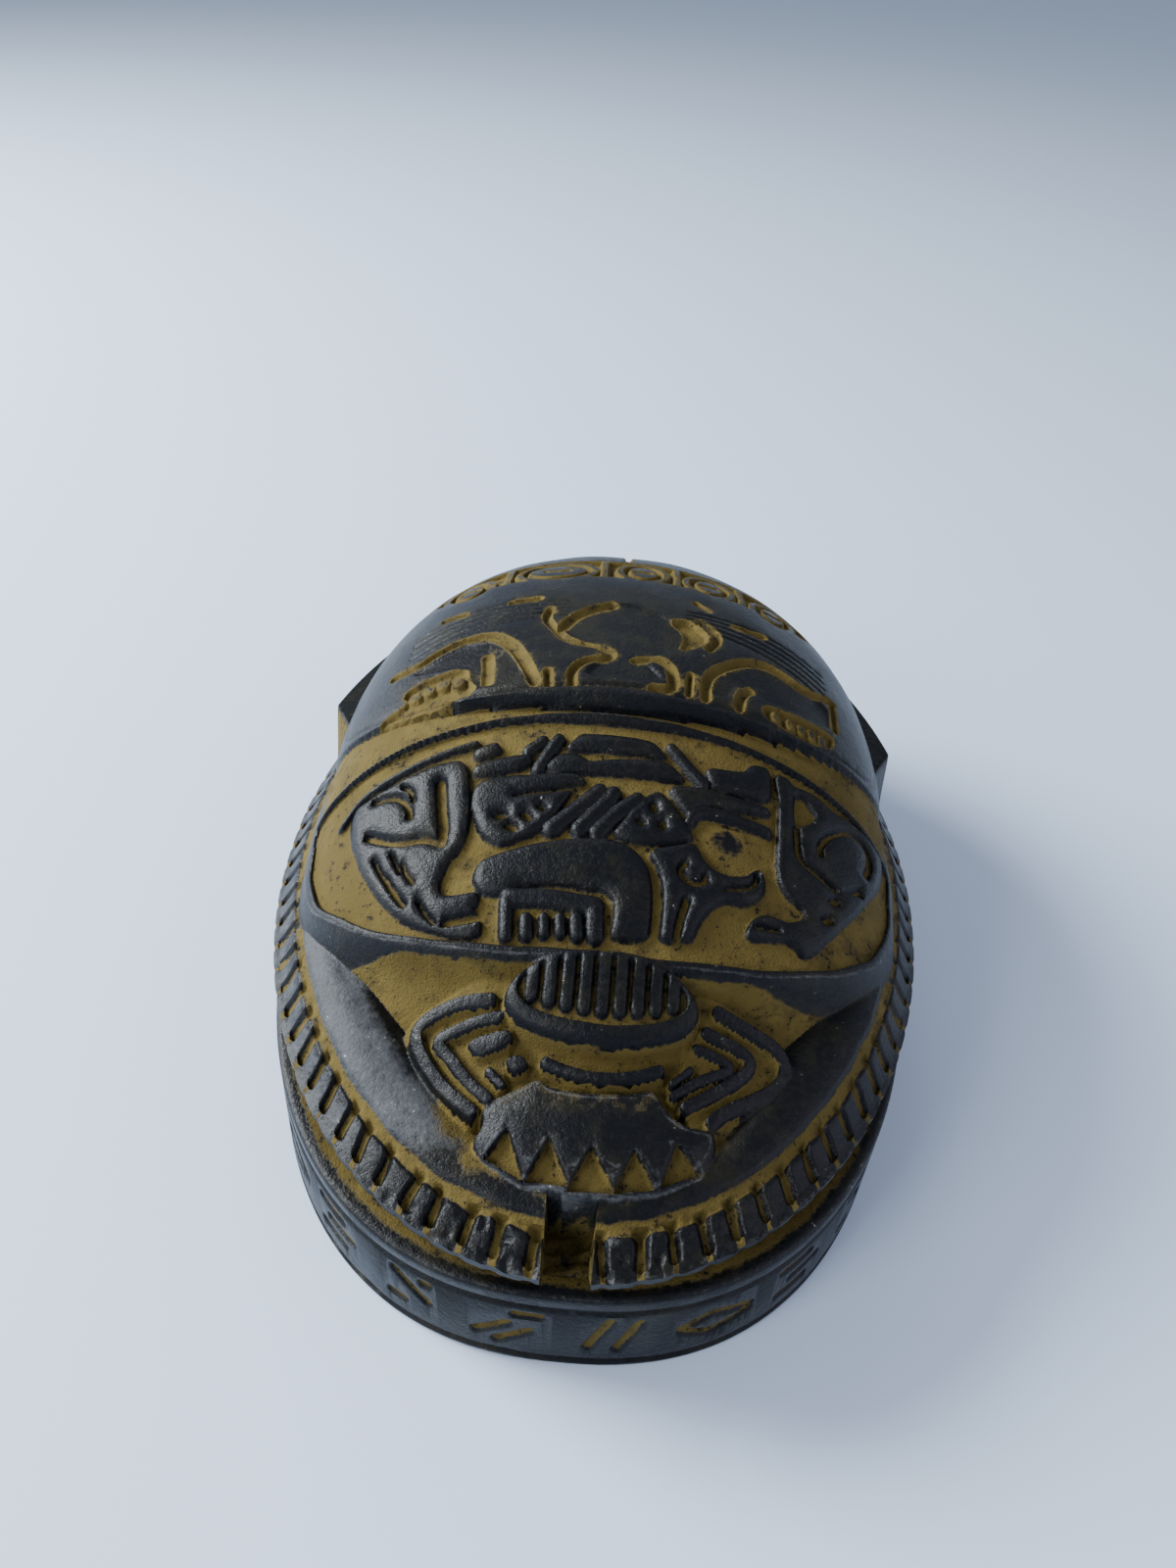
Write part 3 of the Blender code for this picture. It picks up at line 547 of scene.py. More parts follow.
@dataclass(frozen=True)
class WingCases:
    """The wing cases: a dome with a raised border, facing birds, a band and a row of ovals."""

    plan: Oval = Oval(8.0, 40.2, 11.3, 53.0, 4.0, 2.12)
    waist: Oval = Oval(-4.7, 39.8, 7.5, 9.5, 4.0, 4.0)
    base: float = 26.0
    crown: float = 25.0
    front_curve: float = 42.0
    flank: float = 40.0
    flank_power: float = 2.3
    border: float = 1.7
    relief: float = 0.9
    channel_depth: float = 1.2
    channel_slope: float = 0.45
    feather_count: int = 5

    def height(self, x: Array, y: Array) -> Array:
        """Work out the dome's finished surface.

        Args:
            x: Places across.
            y: Places along.

        Returns:
            Its height, which is the base's outside the dome.
        """
        length = np.where(y < self.plan.centre_y, self.front_curve, self.plan.rear)
        reach = np.abs(x / self.plan.half_width) ** self.plan.rear_power
        reach += np.abs((y - self.plan.centre_y) / length) ** self.plan.rear_power
        return self.base + self.crown * np.sqrt(np.clip(1 - reach, 0.0, 1.0))

    def waist_height(self, x: Array, y: Array, top: float) -> Array:
        """Work out the channel and the flanks in front of the wing cases.

        Args:
            x: Places across.
            y: Places along.
            top: The height of the shield's rear edge.

        Returns:
            Their height.
        """
        reach = np.abs(x / self.flank) ** self.flank_power
        slope = self.channel_slope * np.maximum(self.waist.centre_y - y, 0.0)
        crown = self.base + (top - self.base) * np.sqrt(np.clip(1 - reach, 0.0, 1.0))
        return crown - self.channel_depth - slope

    def hollows(self) -> list[Mark]:
        """Return the flat ground between the birds, which lies a little lower."""
        return [patch((-8.2, 11.0), (-6.0, 17.6), (0, 20.0), (5.8, 17.4), (9.6, 12.0), (7.4, 8.4), (3.0, 5.0),
                      (6.4, 0.4), (-5.0, 0.4), (-1.2, 4.6), (-3.4, 7.2)),
                patch((-29.0, 6.0), (-25.0, 8.0), (-22.0, 9.8), (-18.0, 10.0), (-15.6, 7.4), (-13.0, 2.0),
                      (-14.0, -0.6), (-19.0, -0.6), (-20.4, 4.4)),
                patch((12.8, 0.2), (13.4, 4.6), (16.6, 8.0), (19.6, 10.0), (22.6, 9.6), (29.8, 8.6),
                      (30.0, 3.0), (19.0, 2.4), (16.0, 4.0), (15.0, 0.4))]

    def feathers(self) -> list[Mark]:
        """Return the shallow lines that fan over the two wings."""
        lines = []
        for side in Side:
            for index in range(self.feather_count):
                lift = 1.5 * index
                ends = [(8.5, 15.4 + lift * 0.75), (17.0, 14.6 + lift), (24.0, 12.4 + lift * 1.1),
                        (30.0, 9.4 + lift * 1.3)]
                places = [(side.value * across, along) for across, along in ends]
                places[0] = (places[0][0] + 0.8, places[0][1])
                lines.append(cut_line(0.3, *places))
        return lines

    def ovals(self) -> list[Mark]:
        """Return the row of ovals behind the band, with bars between them."""
        marks = [cut_patch((-30.0, 28.4), (-18, 29.6), (0, 30.4), (18, 29.6), (30.0, 28.4), (26.6, 36.0),
                           (12, 39.0), (0, 39.4), (-12, 39.0), (-26.6, 36.0))]
        for middle, half in ((-24.0, 3.6), (-10.7, 6.0), (2.6, 3.7), (13.0, 3.7), (23.2, 3.4)):
            centre = (middle, 33.8 - 0.006 * middle * middle)
            marks.append(patch(*oval(centre, half + 0.6, 5.0)))
            marks.append(cut_patch(*oval(centre, half - 0.7, 3.8)))
            marks.append(patch(*oval(centre, half - 1.5, 2.9)))
            ends = [(middle + way * half * 0.3, centre[1]) for way in (-1, 1)]
            marks.append(cut_line(0.5, *ends))
        marks += [line(1.0, (across, 28.6), (across, 39.0)) for across in (-18.2, -3.4, 8.0, 18.2)]
        return marks

    def marks(self) -> list[Mark]:
        """Return the birds, bands and combs that show in the photograph's view."""
        return [
            # The left cuts
            cut_line(1.3, (-31.5, 8), (-28.2, 7.7), (-25.6, 9.7), (-22.1, 11.2), (-18.1, 11.2),
                (-15.2, 8.5), (-13.3, 4.9), (-11.9, 1.5), (-11, -0.9)),
            cut_line(1.2, (-18, 5.8), (-17.5, 2.6), (-17.4, 0.1)),
            cut_patch((-29, 2.5), (-25.6, 3.3), (-22.3, 3.8), (-20.6, 3.6), (-20.1, 1), (-18.7, -1.4),
                (-21.6, -2.6), (-25, -3.5), (-27.4, -4.2), (-31.4, -3.3), (-31.4, -1.3), (-28.5, -0.9)),
            cut_line(0.9, (-10.5, 17.5), (-11, 14.5), (-9.2, 11.3), (-7.5, 8.2), (-3.4, 7.3), (-0.8, 6.2),
                (-1.5, 4.4), (-4.5, 3.7), (-6.3, 1.6), (-6, -1.2)),
            cut_line(1.3, (-8.5, 11.5), (-6.6, 15.6), (-4, 17.7), (-1.7, 19.1)),
            cut_line(0.8, (-9.4, 1.2), (-9.1, -1.4)),
            cut_line(0.9, (-26.2, 19.9), (-23.4, 20)),
            cut_line(0.9, (-16.3, 20.7), (-12.5, 21.3)),
            # The left teeth
            line(1.5, (-29.1, 0.2), (-29.1, 0.2)),
            line(1.6, (-27.2, 0.5), (-27.1, 0.5)),
            line(1.5, (-25.3, 0.9), (-25.3, 0.8)),
            line(1.6, (-23.5, 1.3), (-23.4, 1.2)),
            line(1.6, (-21.4, 1.1), (-21.3, 0.9)),
            # The right cuts
            cut_line(1.1, (11.8, -1), (11.8, 1.7), (12.7, 5), (16.1, 8.7), (19.4, 10.9), (22.4, 10.7),
                (25.4, 9.3), (28.6, 9.7), (30.9, 11.1)),
            cut_line(1.1, (2.2, 4.7), (4.6, 5.5), (6.8, 4.3), (7.4, 1.9), (7.4, -0.7), (4.8, -1)),
            cut_line(0.6, (9.7, 3), (9.5, -1)),
            cut_patch((6.7, 16.3), (9.3, 17.2), (11.9, 14.7), (12.2, 12.6), (9.9, 9.4), (8.2, 8.5),
                (9.3, 13)),
            cut_line(0.9, (11.1, 17.5), (13.4, 15.5), (13.7, 13.1), (12.3, 10.3)),
            cut_line(1.1, (17.9, 3.5), (16.6, 1.4), (16.3, -1.2)),
            cut_patch((19.9, 1.2), (23.4, 1.4), (27, 1.8), (30.3, 2.1), (29.8, -0.3), (26.1, -1.8),
                (22.6, -1.5), (19.9, -1)),
            cut_line(0.7, (30.9, 11.1), (30.8, 4.3)),
            cut_line(1.1, (16.5, 19.1), (20.6, 19.3)),
            cut_line(0.8, (10.6, 23.8), (12.4, 22.2)),
            # The seam behind the ovals
            cut_line(0.9, (0.3, 41.5), (0.1, 50), (0, 60.6)),
            # The right teeth
            line(1.1, (21.5, 0.2), (21.6, -0.6)),
            line(1.0, (23.6, -0), (23.7, -0.9)),
            line(1.0, (25.1, -0.1), (25.2, -0.8)),
            line(1.0, (26.7, 0.1), (26.8, -0.9)),
            line(1.0, (28.3, 0.2), (28.3, -1)),
            # The bands
            line(0.6, (-31.9, 22.6), (-26.6, 22.4), (-19.6, 22.7), (-11.5, 25.4), (-4.5, 26.8)),
            line(0.6, (-5.5, 23.3), (0.4, 23.7), (7, 22.2), (13.6, 20.4), (18.3, 18.2), (24.5, 17.4),
                (30.5, 18.1)),
            line(1.2, (-19.7, 36.8), (-18.2, 24.3)),
            line(0.8, (-3.1, 39.3), (-2.5, 26.6)),
            line(0.6, (-1.5, 40.9), (-1, 31.5)),
            line(1.1, (7.7, 38.6), (7.6, 24.1)),
            line(1.1, (18.6, 32.2), (18.2, 22.1)),
            line(0.8, (1.7, 23.6), (1.9, 19.2)),
        ]

    def skin(self, x: Array, y: Array, top: float) -> Skin:
        """Return the wing cases' skin with the waist in front of it.

        Args:
            x: Places across.
            y: Places along.
            top: The height of the shield's rear edge.

        Returns:
            The skin, which lies far down where there are no wing cases.
        """
        edge = self.plan.depth(x, y)
        depth = carve(self.marks() + self.ovals(), x, y, FAR)
        lines = carve(self.feathers(), x, y, FAR)
        hollow = rising(carve(self.hollows(), x, y, -FAR), 0.8)
        line_reach = np.abs(edge - self.border - 0.3) - 0.3
        surface = self.height(x, y) + WANDER * ripple(x, y, 9.0, 11)
        raised = rising(depth, CARVED_SLOPE)
        height = surface - self.relief * (1 - raised) - 0.40 * hollow * raised
        height = height - 0.22 * sinking(lines, 0.35) * raised - 0.30 * sinking(line_reach, 0.4)
        ink = np.maximum(ink_of(depth - 0.55), 0.55 * sinking(line_reach, 0.3))
        ink = np.maximum(ink, 0.62 * sinking(lines, 0.3))
        wear_and_sheen = np.maximum(rubbed(depth) * 0.5, rubbed(edge, 0.1, 1.0) * 0.9)
        haze = 0.76 * ease(0.78 - depth / 2.6) * (edge > 1.2)
        finished = np.where(edge > -2.0, height + STEEP * np.minimum(edge, 0.0), -FAR)
        wings = Skin(finished, ink, haze, wear_and_sheen)
        out = np.minimum(self.waist.depth(x, y), 0.0)
        rise = np.where(out > -2.0, self.waist_height(x, y, top) + STEEP * out, -FAR)
        waist = Skin(rise, np.full(x.shape, 0.85), np.full(x.shape, 0.7), np.zeros(x.shape))
        wings.put(waist.height > wings.height, waist)
        return wings


@dataclass(frozen=True)
class Shield:
    """The shield behind the head, with its border ridge and figures on an ochre field."""

    plan: Oval = Oval(-13.0, 39.8, 24.0, 8.3, 2.7, 1.6)
    top: float = 48.6
    fall: float = 3.6
    steady_fall: float = 2.55
    growing_fall: float = 0.95
    arch: float = 21.0
    flank: float = 40.0
    flank_power: float = 2.1
    frame_width: float = 1.5
    relief: float = 0.95
    sun: tuple = (15.2, -20.3)
    drop: float = 3.4
    slope: float = 0.95

    def height(self, x: Array, y: Array) -> Array:
        """Work out the shield's finished surface.

        Args:
            x: Places across.
            y: Places along.

        Returns:
            Its height, which falls towards the front and the sides.
        """
        along = (self.plan.centre_y + self.plan.rear - y) / (self.plan.front + self.plan.rear)
        crown = self.top - self.fall * (self.steady_fall * along + self.growing_fall * along * along)
        reach = np.abs(x / self.flank) ** self.flank_power
        return crown - self.arch * (1 - np.sqrt(np.clip(1 - reach, 0.0, 1.0)))

    def marks(self) -> list[Mark]:
        """Return the figures, in the order in which they are raised and cut."""
        return [
            # The left figure
            patch((-18.5, -11.6), (-22.6, -11.9), (-26.1, -12.9), (-30.1, -14.3), (-32.4, -14.8),
                (-32.7, -16.9), (-31.6, -20.2), (-29.4, -24.6), (-26.6, -28.5), (-23.9, -31.1),
                (-20.7, -32.8), (-16.9, -34.2), (-13.9, -34.3), (-13.7, -32.6), (-15.2, -31),
                (-14.5, -30.5), (-14.6, -29.3), (-17.3, -29.7), (-19, -29.5), (-19.7, -28.2), (-19, -25.2),
                (-17.4, -23.4), (-17, -20.9), (-17.3, -17.2)),
            # The left figure cuts
            cut_line(1.3, (-21.3, -14.4), (-20.6, -18.1), (-19.9, -21), (-20, -22.7)),
            cut_line(1.0, (-20, -22.7), (-22.3, -21.8), (-25, -22), (-27.8, -20.9), (-29.8, -19.8)),
            cut_line(0.8, (-29.8, -15), (-27.8, -15), (-25.9, -15.7), (-24.8, -17.3), (-24.7, -18.5)),
            cut_line(0.6, (-26.2, -14), (-25, -14.8), (-24.6, -16.3)),
            cut_line(0.7, (-26.4, -26.1), (-25.1, -28), (-23.5, -29.8)),
            cut_line(0.5, (-24.5, -24.8), (-23.9, -26), (-22.8, -27.3)),
            cut_line(0.4, (-26.1, -23.2), (-25.3, -24.7), (-24.6, -25.8)),
            cut_line(1.0, (-17.9, -32.6), (-15.7, -32.3), (-13.6, -32)),
            cut_line(0.5, (-28.3, -23.4), (-27.2, -25.2), (-26.2, -26.5)),
            cut_line(0.5, (-21.7, -29.7), (-20.7, -31.2), (-19.3, -32.5)),
            # The rump
            patch((-16.8, -15.9), (-15.5, -14.7), (-8.3, -14.3), (-4, -14.1), (-3, -14.8), (-3.9, -15.5),
                (-4.6, -16.1), (-5.8, -18.5), (-8, -21.7), (-10.7, -22.9), (-12.9, -23.4), (-14.9, -22.2),
                (-16.2, -19.9), (-16.9, -17.8)),
            # The rump cuts
            cut_line(0.6, (-11.5, -17), (-7.8, -16.5), (-3.6, -15.7)),
            cut_line(0.9, (-13.4, -19.8), (-12.6, -19.7)),
            cut_line(1.0, (-11.8, -21.1), (-11.2, -21.4)),
            cut_line(1.0, (-10, -19.7), (-9.5, -20.1)),
            cut_line(0.7, (-8.2, -18.6), (-7.8, -18.8)),
            # The stripes
            line(1.8, (-6.6, -21.4), (-3.6, -18.6), (-1.1, -16.1)),
            line(1.7, (-3.2, -21.3), (-0, -17.6), (0.7, -16.3)),
            line(1.7, (-0.9, -21.5), (1.3, -18.8), (3.7, -16.8)),
            # The wedge
            patch((1.1, -21.4), (2.2, -19.9), (4.4, -16.6), (6.6, -15.2), (8.9, -18), (10.9, -20.4),
                (10.2, -21.1), (5.3, -22.2), (2.8, -22.2)),
            # The wedge cuts
            cut_line(0.9, (5.8, -17.2), (5.9, -17.9)),
            cut_line(0.9, (7, -19.4), (7.1, -19.9)),
            cut_line(0.8, (4.2, -19.5), (4.5, -19.8)),
            # The horns
            patch((7.3, -14.6), (10.4, -13.9), (13.4, -14), (17.1, -14.1), (20.7, -14.3), (20.4, -15),
                (17.6, -15.4), (14.8, -15.8), (12.7, -15.8), (11.1, -16.6), (10.2, -17.9)),
            line(1.0, (10.4, -18.6), (11.1, -17.2), (13, -16.7), (15.6, -16.8), (17.9, -17.1),
                (20.4, -17.4)),
            # The body
            patch((-12.5, -24.7), (-8.5, -23.6), (-3.7, -22.7), (-2, -22.6), (0.4, -22.4), (2.4, -22.8),
                (4.3, -23.9), (5.5, -25.3), (6, -27.4), (6.2, -29.7), (6.1, -33.5), (1.8, -33.9),
                (2.1, -32), (2, -29.7), (1.2, -28.7), (-0.5, -28.2), (-0.7, -28.5), (-3.2, -28.1),
                (-6.8, -28.1), (-10.3, -28.4), (-11.6, -29.5), (-14.3, -29.2), (-15.3, -27.5),
                (-14.9, -25.6)),
            # The chest
            patch((5.7, -23.2), (8.3, -22.3), (11.2, -21.4), (12.3, -23.4), (13.8, -24.3), (15.6, -24.6),
                (17.8, -24.1), (19, -22.8), (19.9, -23), (20, -24.7), (19.4, -26.1), (17.6, -27.3),
                (15.1, -27.4), (13.6, -28.4), (12.1, -30.4), (11.2, -32.8), (7.7, -33.5), (7.8, -31.3),
                (7.9, -28.9), (7.6, -26.5), (6.8, -24.6)),
            # The chest cuts
            cut_line(0.8, (10.1, -24), (9.4, -24.8), (10.2, -25.9), (11.4, -26.3), (12.7, -25.7),
                (12.6, -25.1)),
            cut_line(0.9, (10.5, -28.4), (9.8, -30.8), (9.5, -33.1)),
            cut_line(0.6, (15.5, -26), (17.6, -25.5), (19, -24.5), (19.1, -23.3)),
            # The basket
            line(1.7, (-10.7, -29.8), (-5.4, -29.9), (-0.3, -30.4)),
            line(1.3, (-11, -30.4), (-10.6, -34.2)),
            line(1.3, (-8.4, -32.4), (-8.2, -34)),
            line(1.0, (-6.3, -32.2), (-6.1, -33.8)),
            line(1.0, (-4.4, -32.2), (-4.2, -33.7)),
            line(1.3, (-2.5, -32.1), (-2.2, -33.8)),
            line(1.8, (-0.4, -30.7), (-0.1, -33.6)),
            # The right figure
            patch((21.4, -8.8), (23, -8.8), (24.1, -9.8), (25.5, -9.6), (27.2, -9.7), (29.5, -10.7),
                (32.5, -10.5), (35.7, -10.8), (37.5, -11.7), (36.4, -16), (32.7, -22.1), (29.1, -26.7),
                (26.4, -30.2), (25.1, -31), (23.3, -29.8), (20.5, -30.5), (17.8, -31.1), (18.8, -28.8),
                (20.4, -27.8), (23.2, -28.1), (25.2, -27), (25.6, -25.7), (23.7, -24.9), (22.3, -23.7),
                (21.8, -21.8), (22, -17), (22.1, -12.6)),
            # The right figure cuts
            cut_patch((24.1, -10.6), (25.7, -10.8), (27.3, -12.5), (26, -14.1), (24.2, -15.5),
                (23.9, -12.7)),
            cut_line(0.8, (24.3, -15.5), (24.5, -19.5), (27, -20.3), (29.5, -21.2)),
            cut_line(0.8, (27.6, -17.5), (27.5, -16.1), (29.6, -13.3), (32.1, -11.9), (34.3, -12.3),
                (35.2, -14), (34.3, -16.4)),
            cut_patch((30.8, -20.7), (33.4, -18.7), (33.7, -19.9)),
            cut_line(1.0, (29.2, -22.9), (29.7, -22.6)),
            cut_line(1.0, (28.2, -25.6), (28.7, -25.3)),
            cut_line(0.6, (19.2, -29.4), (22, -29.2)),
            # The inner lines
            line(0.5, (-34.2, -16.4), (-32.4, -13.9), (-30, -12.7), (-26, -11.3), (-21, -10.0),
                (-17.5, -9.2)),
            # The top row
            patch((-17.6, -10.3), (-14.8, -9.3), (-14, -10.9), (-17.2, -11.6)),
            patch((-17.2, -12.5), (-10.6, -11.3), (-10, -12.2), (-11.7, -13.4), (-17.4, -14.1)),
            line(1.2, (-10.6, -10.7), (-8.9, -9.3)),
            line(1.4, (-9.1, -13.3), (-8, -10.9), (-6.9, -9.1)),
            patch((-6, -10.5), (-4.1, -8.2), (-3.3, -8.2), (1.9, -8.1), (5.3, -8.4), (7.1, -10.5),
                (4.6, -10.3), (-3.1, -10.3)),
            patch((-8.2, -13.6), (-7.1, -11.6), (-4.8, -11), (-2.7, -12.2), (-2.9, -12.3), (2.1, -11.4),
                (7.2, -11.1), (9.8, -13.1), (5.5, -13.3), (-2.8, -13.5), (-3.3, -13.5)),
            line(1.2, (7.7, -8.8), (9.7, -10.9), (12, -13.1)),
            patch((12, -10.8), (17.1, -10.3), (18.2, -8.7), (20.7, -8.4), (20.8, -13.1), (16.6, -13.4),
                (13.2, -13.2)),
        ]

    def skin(self, x: Array, y: Array) -> Skin:
        """Lay out the shield and the slope below its front edge.

        Args:
            x: Places across.
            y: Places along.

        Returns:
            Their skin, which falls away steeply behind the shield.
        """
        edge = self.plan.depth(x, y)
        figures = carve(self.marks(), x, y, -FAR)
        ridge = self.frame_width - edge - 0.12 * ripple(x, y, 6.0, 21)
        split = np.hypot(x - 1.2, (y + 36.6) * 0.4) - 0.45
        depth = np.maximum(figures, np.minimum(ridge, split))
        surface = self.height(x, y) + WANDER * ripple(x, y, 8.0, 22)
        crest = 0.55 * np.clip(1 - ((ridge - 0.70) / 0.85) ** 2, 0.0, 1.0) * (edge > 0)
        height = surface - self.relief * (1 - rising(depth, CARVED_SLOPE)) + crest - 0.55 * rising(ridge, 0.4)
        height = height + 0.25 * (ease(figures / 1.2) - 1) * (ridge < 0)
        wear_and_sheen = np.maximum(rubbed(depth) * 0.5, rubbed(ridge, 0.5, 1.6) * 0.9)
        sun = np.hypot((x - self.sun[0]) / 3.8, (y - self.sun[1]) / 2.9)
        ground = figures < -0.3
        height = height + 0.45 * ease(1.3 - sun) * ground
        ink = ink_of(depth) - np.where(ground, 0.46 * ease(1.3 - sun), 0.0)
        inside = Skin(height, ink, np.zeros(x.shape), wear_and_sheen)
        edge_x, edge_y = self.plan.edge_point(x, y)
        out = np.maximum(-edge, 0.0)
        crown = self.height(edge_x, edge_y) - 0.5
        below = crown - self.drop * (1 - np.exp(-out / (self.drop * 0.25))) - self.slope * out
        start = 1.6 * ease((-x - 22.0) / 12.0) + 1.3 * ease((x - 18.0) / 12.0) - 0.15
        recess = ease((out - start) / (0.45 + 0.9 * np.maximum(start, 0.0)))
        behind = np.where(out < 2.0, crown - STEEP * out, -FAR)
        fallen = np.where(y < self.plan.centre_y, below, behind)
        skin = Skin(fallen, np.zeros(x.shape), recess * 0.95, 0.6 * ease(1 - out / 0.5))
        skin.put(edge > 0, inside)
        return skin


@dataclass(frozen=True)
class Head:
    """The head: a striped disc, two plates with angled ridges, a bar and a toothed front plate."""

    shift: float = 1.4
    rise: float = 28.5
    bend_y: float = -48.0
    half_width: float = 21.5
    front_slope: float = 0.40
    rear_slope: float = 0.58
    side_fall: float = 5.0
    disc_centre: tuple = (0.0, -40.4)
    disc_half: tuple = (11.2, 4.5)
    disc_rise: float = 1.5
    pit_depth: float = 1.4
    stripes: int = 9

    def height(self, x: Array, y: Array) -> Array:
        """Work out the head's finished surface.

        Args:
            x: Places across.
            y: Places along.

        Returns:
            Its height, which rises towards the rear and falls to both sides.
        """
        along = y - self.bend_y
        side = x / self.half_width
        slope = np.where(along > 0, self.rear_slope, self.front_slope)
        return self.rise + slope * along - self.side_fall * side * side

    def plates(self) -> list[Mark]:
        """Return the two plates beside the disc."""
        right = [(9.6, -37.6), (14.2, -37.4), (22.0, -40.2), (23.0, -42.4), (13.4, -52.0), (10.4, -50.6)]
        return [patch(*right), patch(*[(-x, y) for x, y in right])]

    def ridges(self) -> list[Mark]:
        """Return the ridges and blocks on the plates and the bar behind the front plate."""
        return [
            # The left plate
            line(1.3, (-12.9, -40.1), (-16.2, -40), (-20.1, -41), (-21.6, -42.3), (-20.7, -44.5),
                (-18.4, -47.3), (-15.8, -49.7), (-13.6, -51.2)),
            line(1.1, (-11.8, -41.9), (-14.3, -42.2), (-17.1, -43), (-19, -43.6), (-16.9, -45.5),
                (-14.7, -47.9), (-12, -50)),
            patch((-15.2, -44.1), (-10.4, -43.2), (-9.7, -44.5), (-13.6, -45.9)),
            patch((-10.4, -46.2), (-8.7, -45.7), (-7.6, -46.8), (-9.3, -47.6)),
            line(0.8, (-12.1, -47.3), (-10.5, -48.7)),
            # The right plate
            line(1.3, (13.7, -39.2), (17.2, -40), (21.2, -40.7), (22.4, -42.1), (21.7, -44.3),
                (18.6, -46.6), (15, -48.7), (13.5, -50.1)),
            line(1.1, (12.4, -41.5), (15.2, -42), (17.9, -42.6), (17.7, -44.1), (14.8, -46.4),
                (10.4, -49.3)),
            line(0.8, (11.3, -43.3), (14, -43.7), (15.8, -44.2), (14.2, -45.2), (12.1, -46.1),
                (9, -48.3)),
            line(0.6, (8.7, -47.2), (10.7, -45.5)),
            # The bar
            line(1.0, (-5.8, -46.5), (-3, -47.4), (-0.1, -47.8), (4, -47.4), (7.2, -46.2)),
        ]

    def front_plate(self) -> list[Mark]:
        """Return the toothed front plate."""
        return [
            patch((-12.3, -51.2), (-10.9, -50), (-8.5, -49), (-6.4, -48), (-5.1, -48.9), (-2.2, -49.3),
                (1, -49.3), (4.2, -48.9), (6.7, -48.1), (7.8, -49.6), (9.1, -50.6), (11.1, -51.2),
                (13.8, -51), (13.9, -52.8), (13, -54.8), (9.6, -57.2), (6.6, -58.6), (2.6, -59.7),
                (-1.3, -59.8), (-5.7, -58.9), (-9, -57.7), (-12, -55.9), (-12.9, -54.2), (-12, -52.8)),
        ]

    def pits(self) -> list[Mark]:
        """Return the triangular pits behind the front plate's lip."""
        return [
            cut_patch((-9.2, -53.6), (-11.4, -56.0), (-6.9, -58.3)),
            cut_patch((-4.5, -54.4), (-6.6, -58.3), (-2.0, -58.7)),
            cut_patch((0.2, -54.9), (-2.0, -59.1), (3.1, -58.9)),
            cut_patch((4.9, -54.8), (2.9, -59.0), (7.4, -57.9)),
            cut_patch((9.6, -53.3), (8.1, -57.6), (12.1, -55.5)),
        ]

    def disc_marks(self) -> list[Mark]:
        """Return the disc's sunk field and its raised stripes."""
        (cx, cy), (half_x, half_y) = self.disc_centre, self.disc_half
        sunk = [(x, y + 0.70) for x, y in oval((cx, cy), half_x - 1.35, half_y - 0.95, count=24)]
        marks = [cut_patch(*sunk)]
        for index in range(self.stripes):
            x = cx - 8.2 + 16.4 * index / (self.stripes - 1)
            reach = (half_y - 1.35) * math.sqrt(1 - ((x - cx) / (half_x - 0.9)) ** 2)
            marks.append(line(1.15, (x, cy + 1.85 - reach), (x, cy + 1.1 + reach)))
        return marks

    def raise_to(self, skin: Skin, depth: Array, other: Skin, slope: float = CARVED_SLOPE) -> None:
        """Raise marks out of the skin to another surface.

        Args:
            skin: The skin, which is changed.
            depth: How far each place lies inside the marks.
            other: The surface that the marks reach.
            slope: How wide their sloping sides are.
        """
        part = rising(depth, slope)
        lift = skin.height + (other.height - skin.height) * part
        higher = (part > 0) & (lift > skin.height)
        shown = part > 0.5
        skin.height = np.where(higher, lift, skin.height)
        for name in VALUES:
            setattr(skin, name, np.where(higher & shown, getattr(other, name), getattr(skin, name)))

    def add(self, skin: Skin, x: Array, y: Array) -> None:
        """Set the head on the skin.

        Args:
            skin: The skin, which is changed.
            x: Places across.
            y: Places along.
        """
        x = x - self.shift
        surface = self.height(x, y) + WANDER * ripple(x, y, 6.0, 31)
        none, full = np.zeros(x.shape), np.ones(x.shape)
        bed = carve([patch(*oval((0, -43.0), 15.0, 8.6, count=24))], x, y, -FAR)
        self.raise_to(skin, bed, Skin(surface - 1.6, full, full, none))
        plates = carve(self.plates(), x, y, -FAR)
        self.raise_to(skin, plates, Skin(surface - 0.9, full, full, none))
        ridges = carve(self.ridges(), x, y, -FAR)
        self.raise_to(skin, ridges, Skin(surface + 0.3, ink_of(ridges), none, rubbed(ridges) * 0.7))
        front = carve(self.front_plate(), x, y, -FAR)
        smear = 0.46 * ease((y + 52.4 + 0.5 * ripple(x, y, 3.0, 33)) / 2.2)
        crown = surface + 0.5 * ease(front / 3.0)
        self.raise_to(skin, front, Skin(crown, ink_of(front), smear, rubbed(front, 0.0, 1.4) * 0.9))
        pits = carve(self.pits(), x, y, FAR)
        hole = sinking(pits, 0.45)
        skin.height = skin.height - self.pit_depth * hole
        skin.ink = np.maximum(skin.ink, ink_of(pits - 0.15))
        skin.wear_and_sheen = np.maximum(skin.wear_and_sheen, rubbed(pits, -0.1, 1.3) * 0.95)
        (cx, cy), (half_x, half_y) = self.disc_centre, self.disc_half
        disc = carve([patch(*oval((cx, cy), half_x, half_y, count=32))], x, y, -FAR)
        crown = surface + self.disc_rise + 0.25 * ease(disc / 1.4)
        self.raise_to(skin, disc, Skin(crown, ink_of(disc), none, rubbed(disc, 0.2, 1.2) * 0.6), 0.9)
        sunk = carve(self.disc_marks(), x, y, FAR)
        inner = disc > 0.5
        skin.height = np.where(inner, skin.height - 0.95 * (1 - rising(sunk, 0.5)), skin.height)
        skin.ink = np.where(inner, ink_of(sunk), skin.ink)
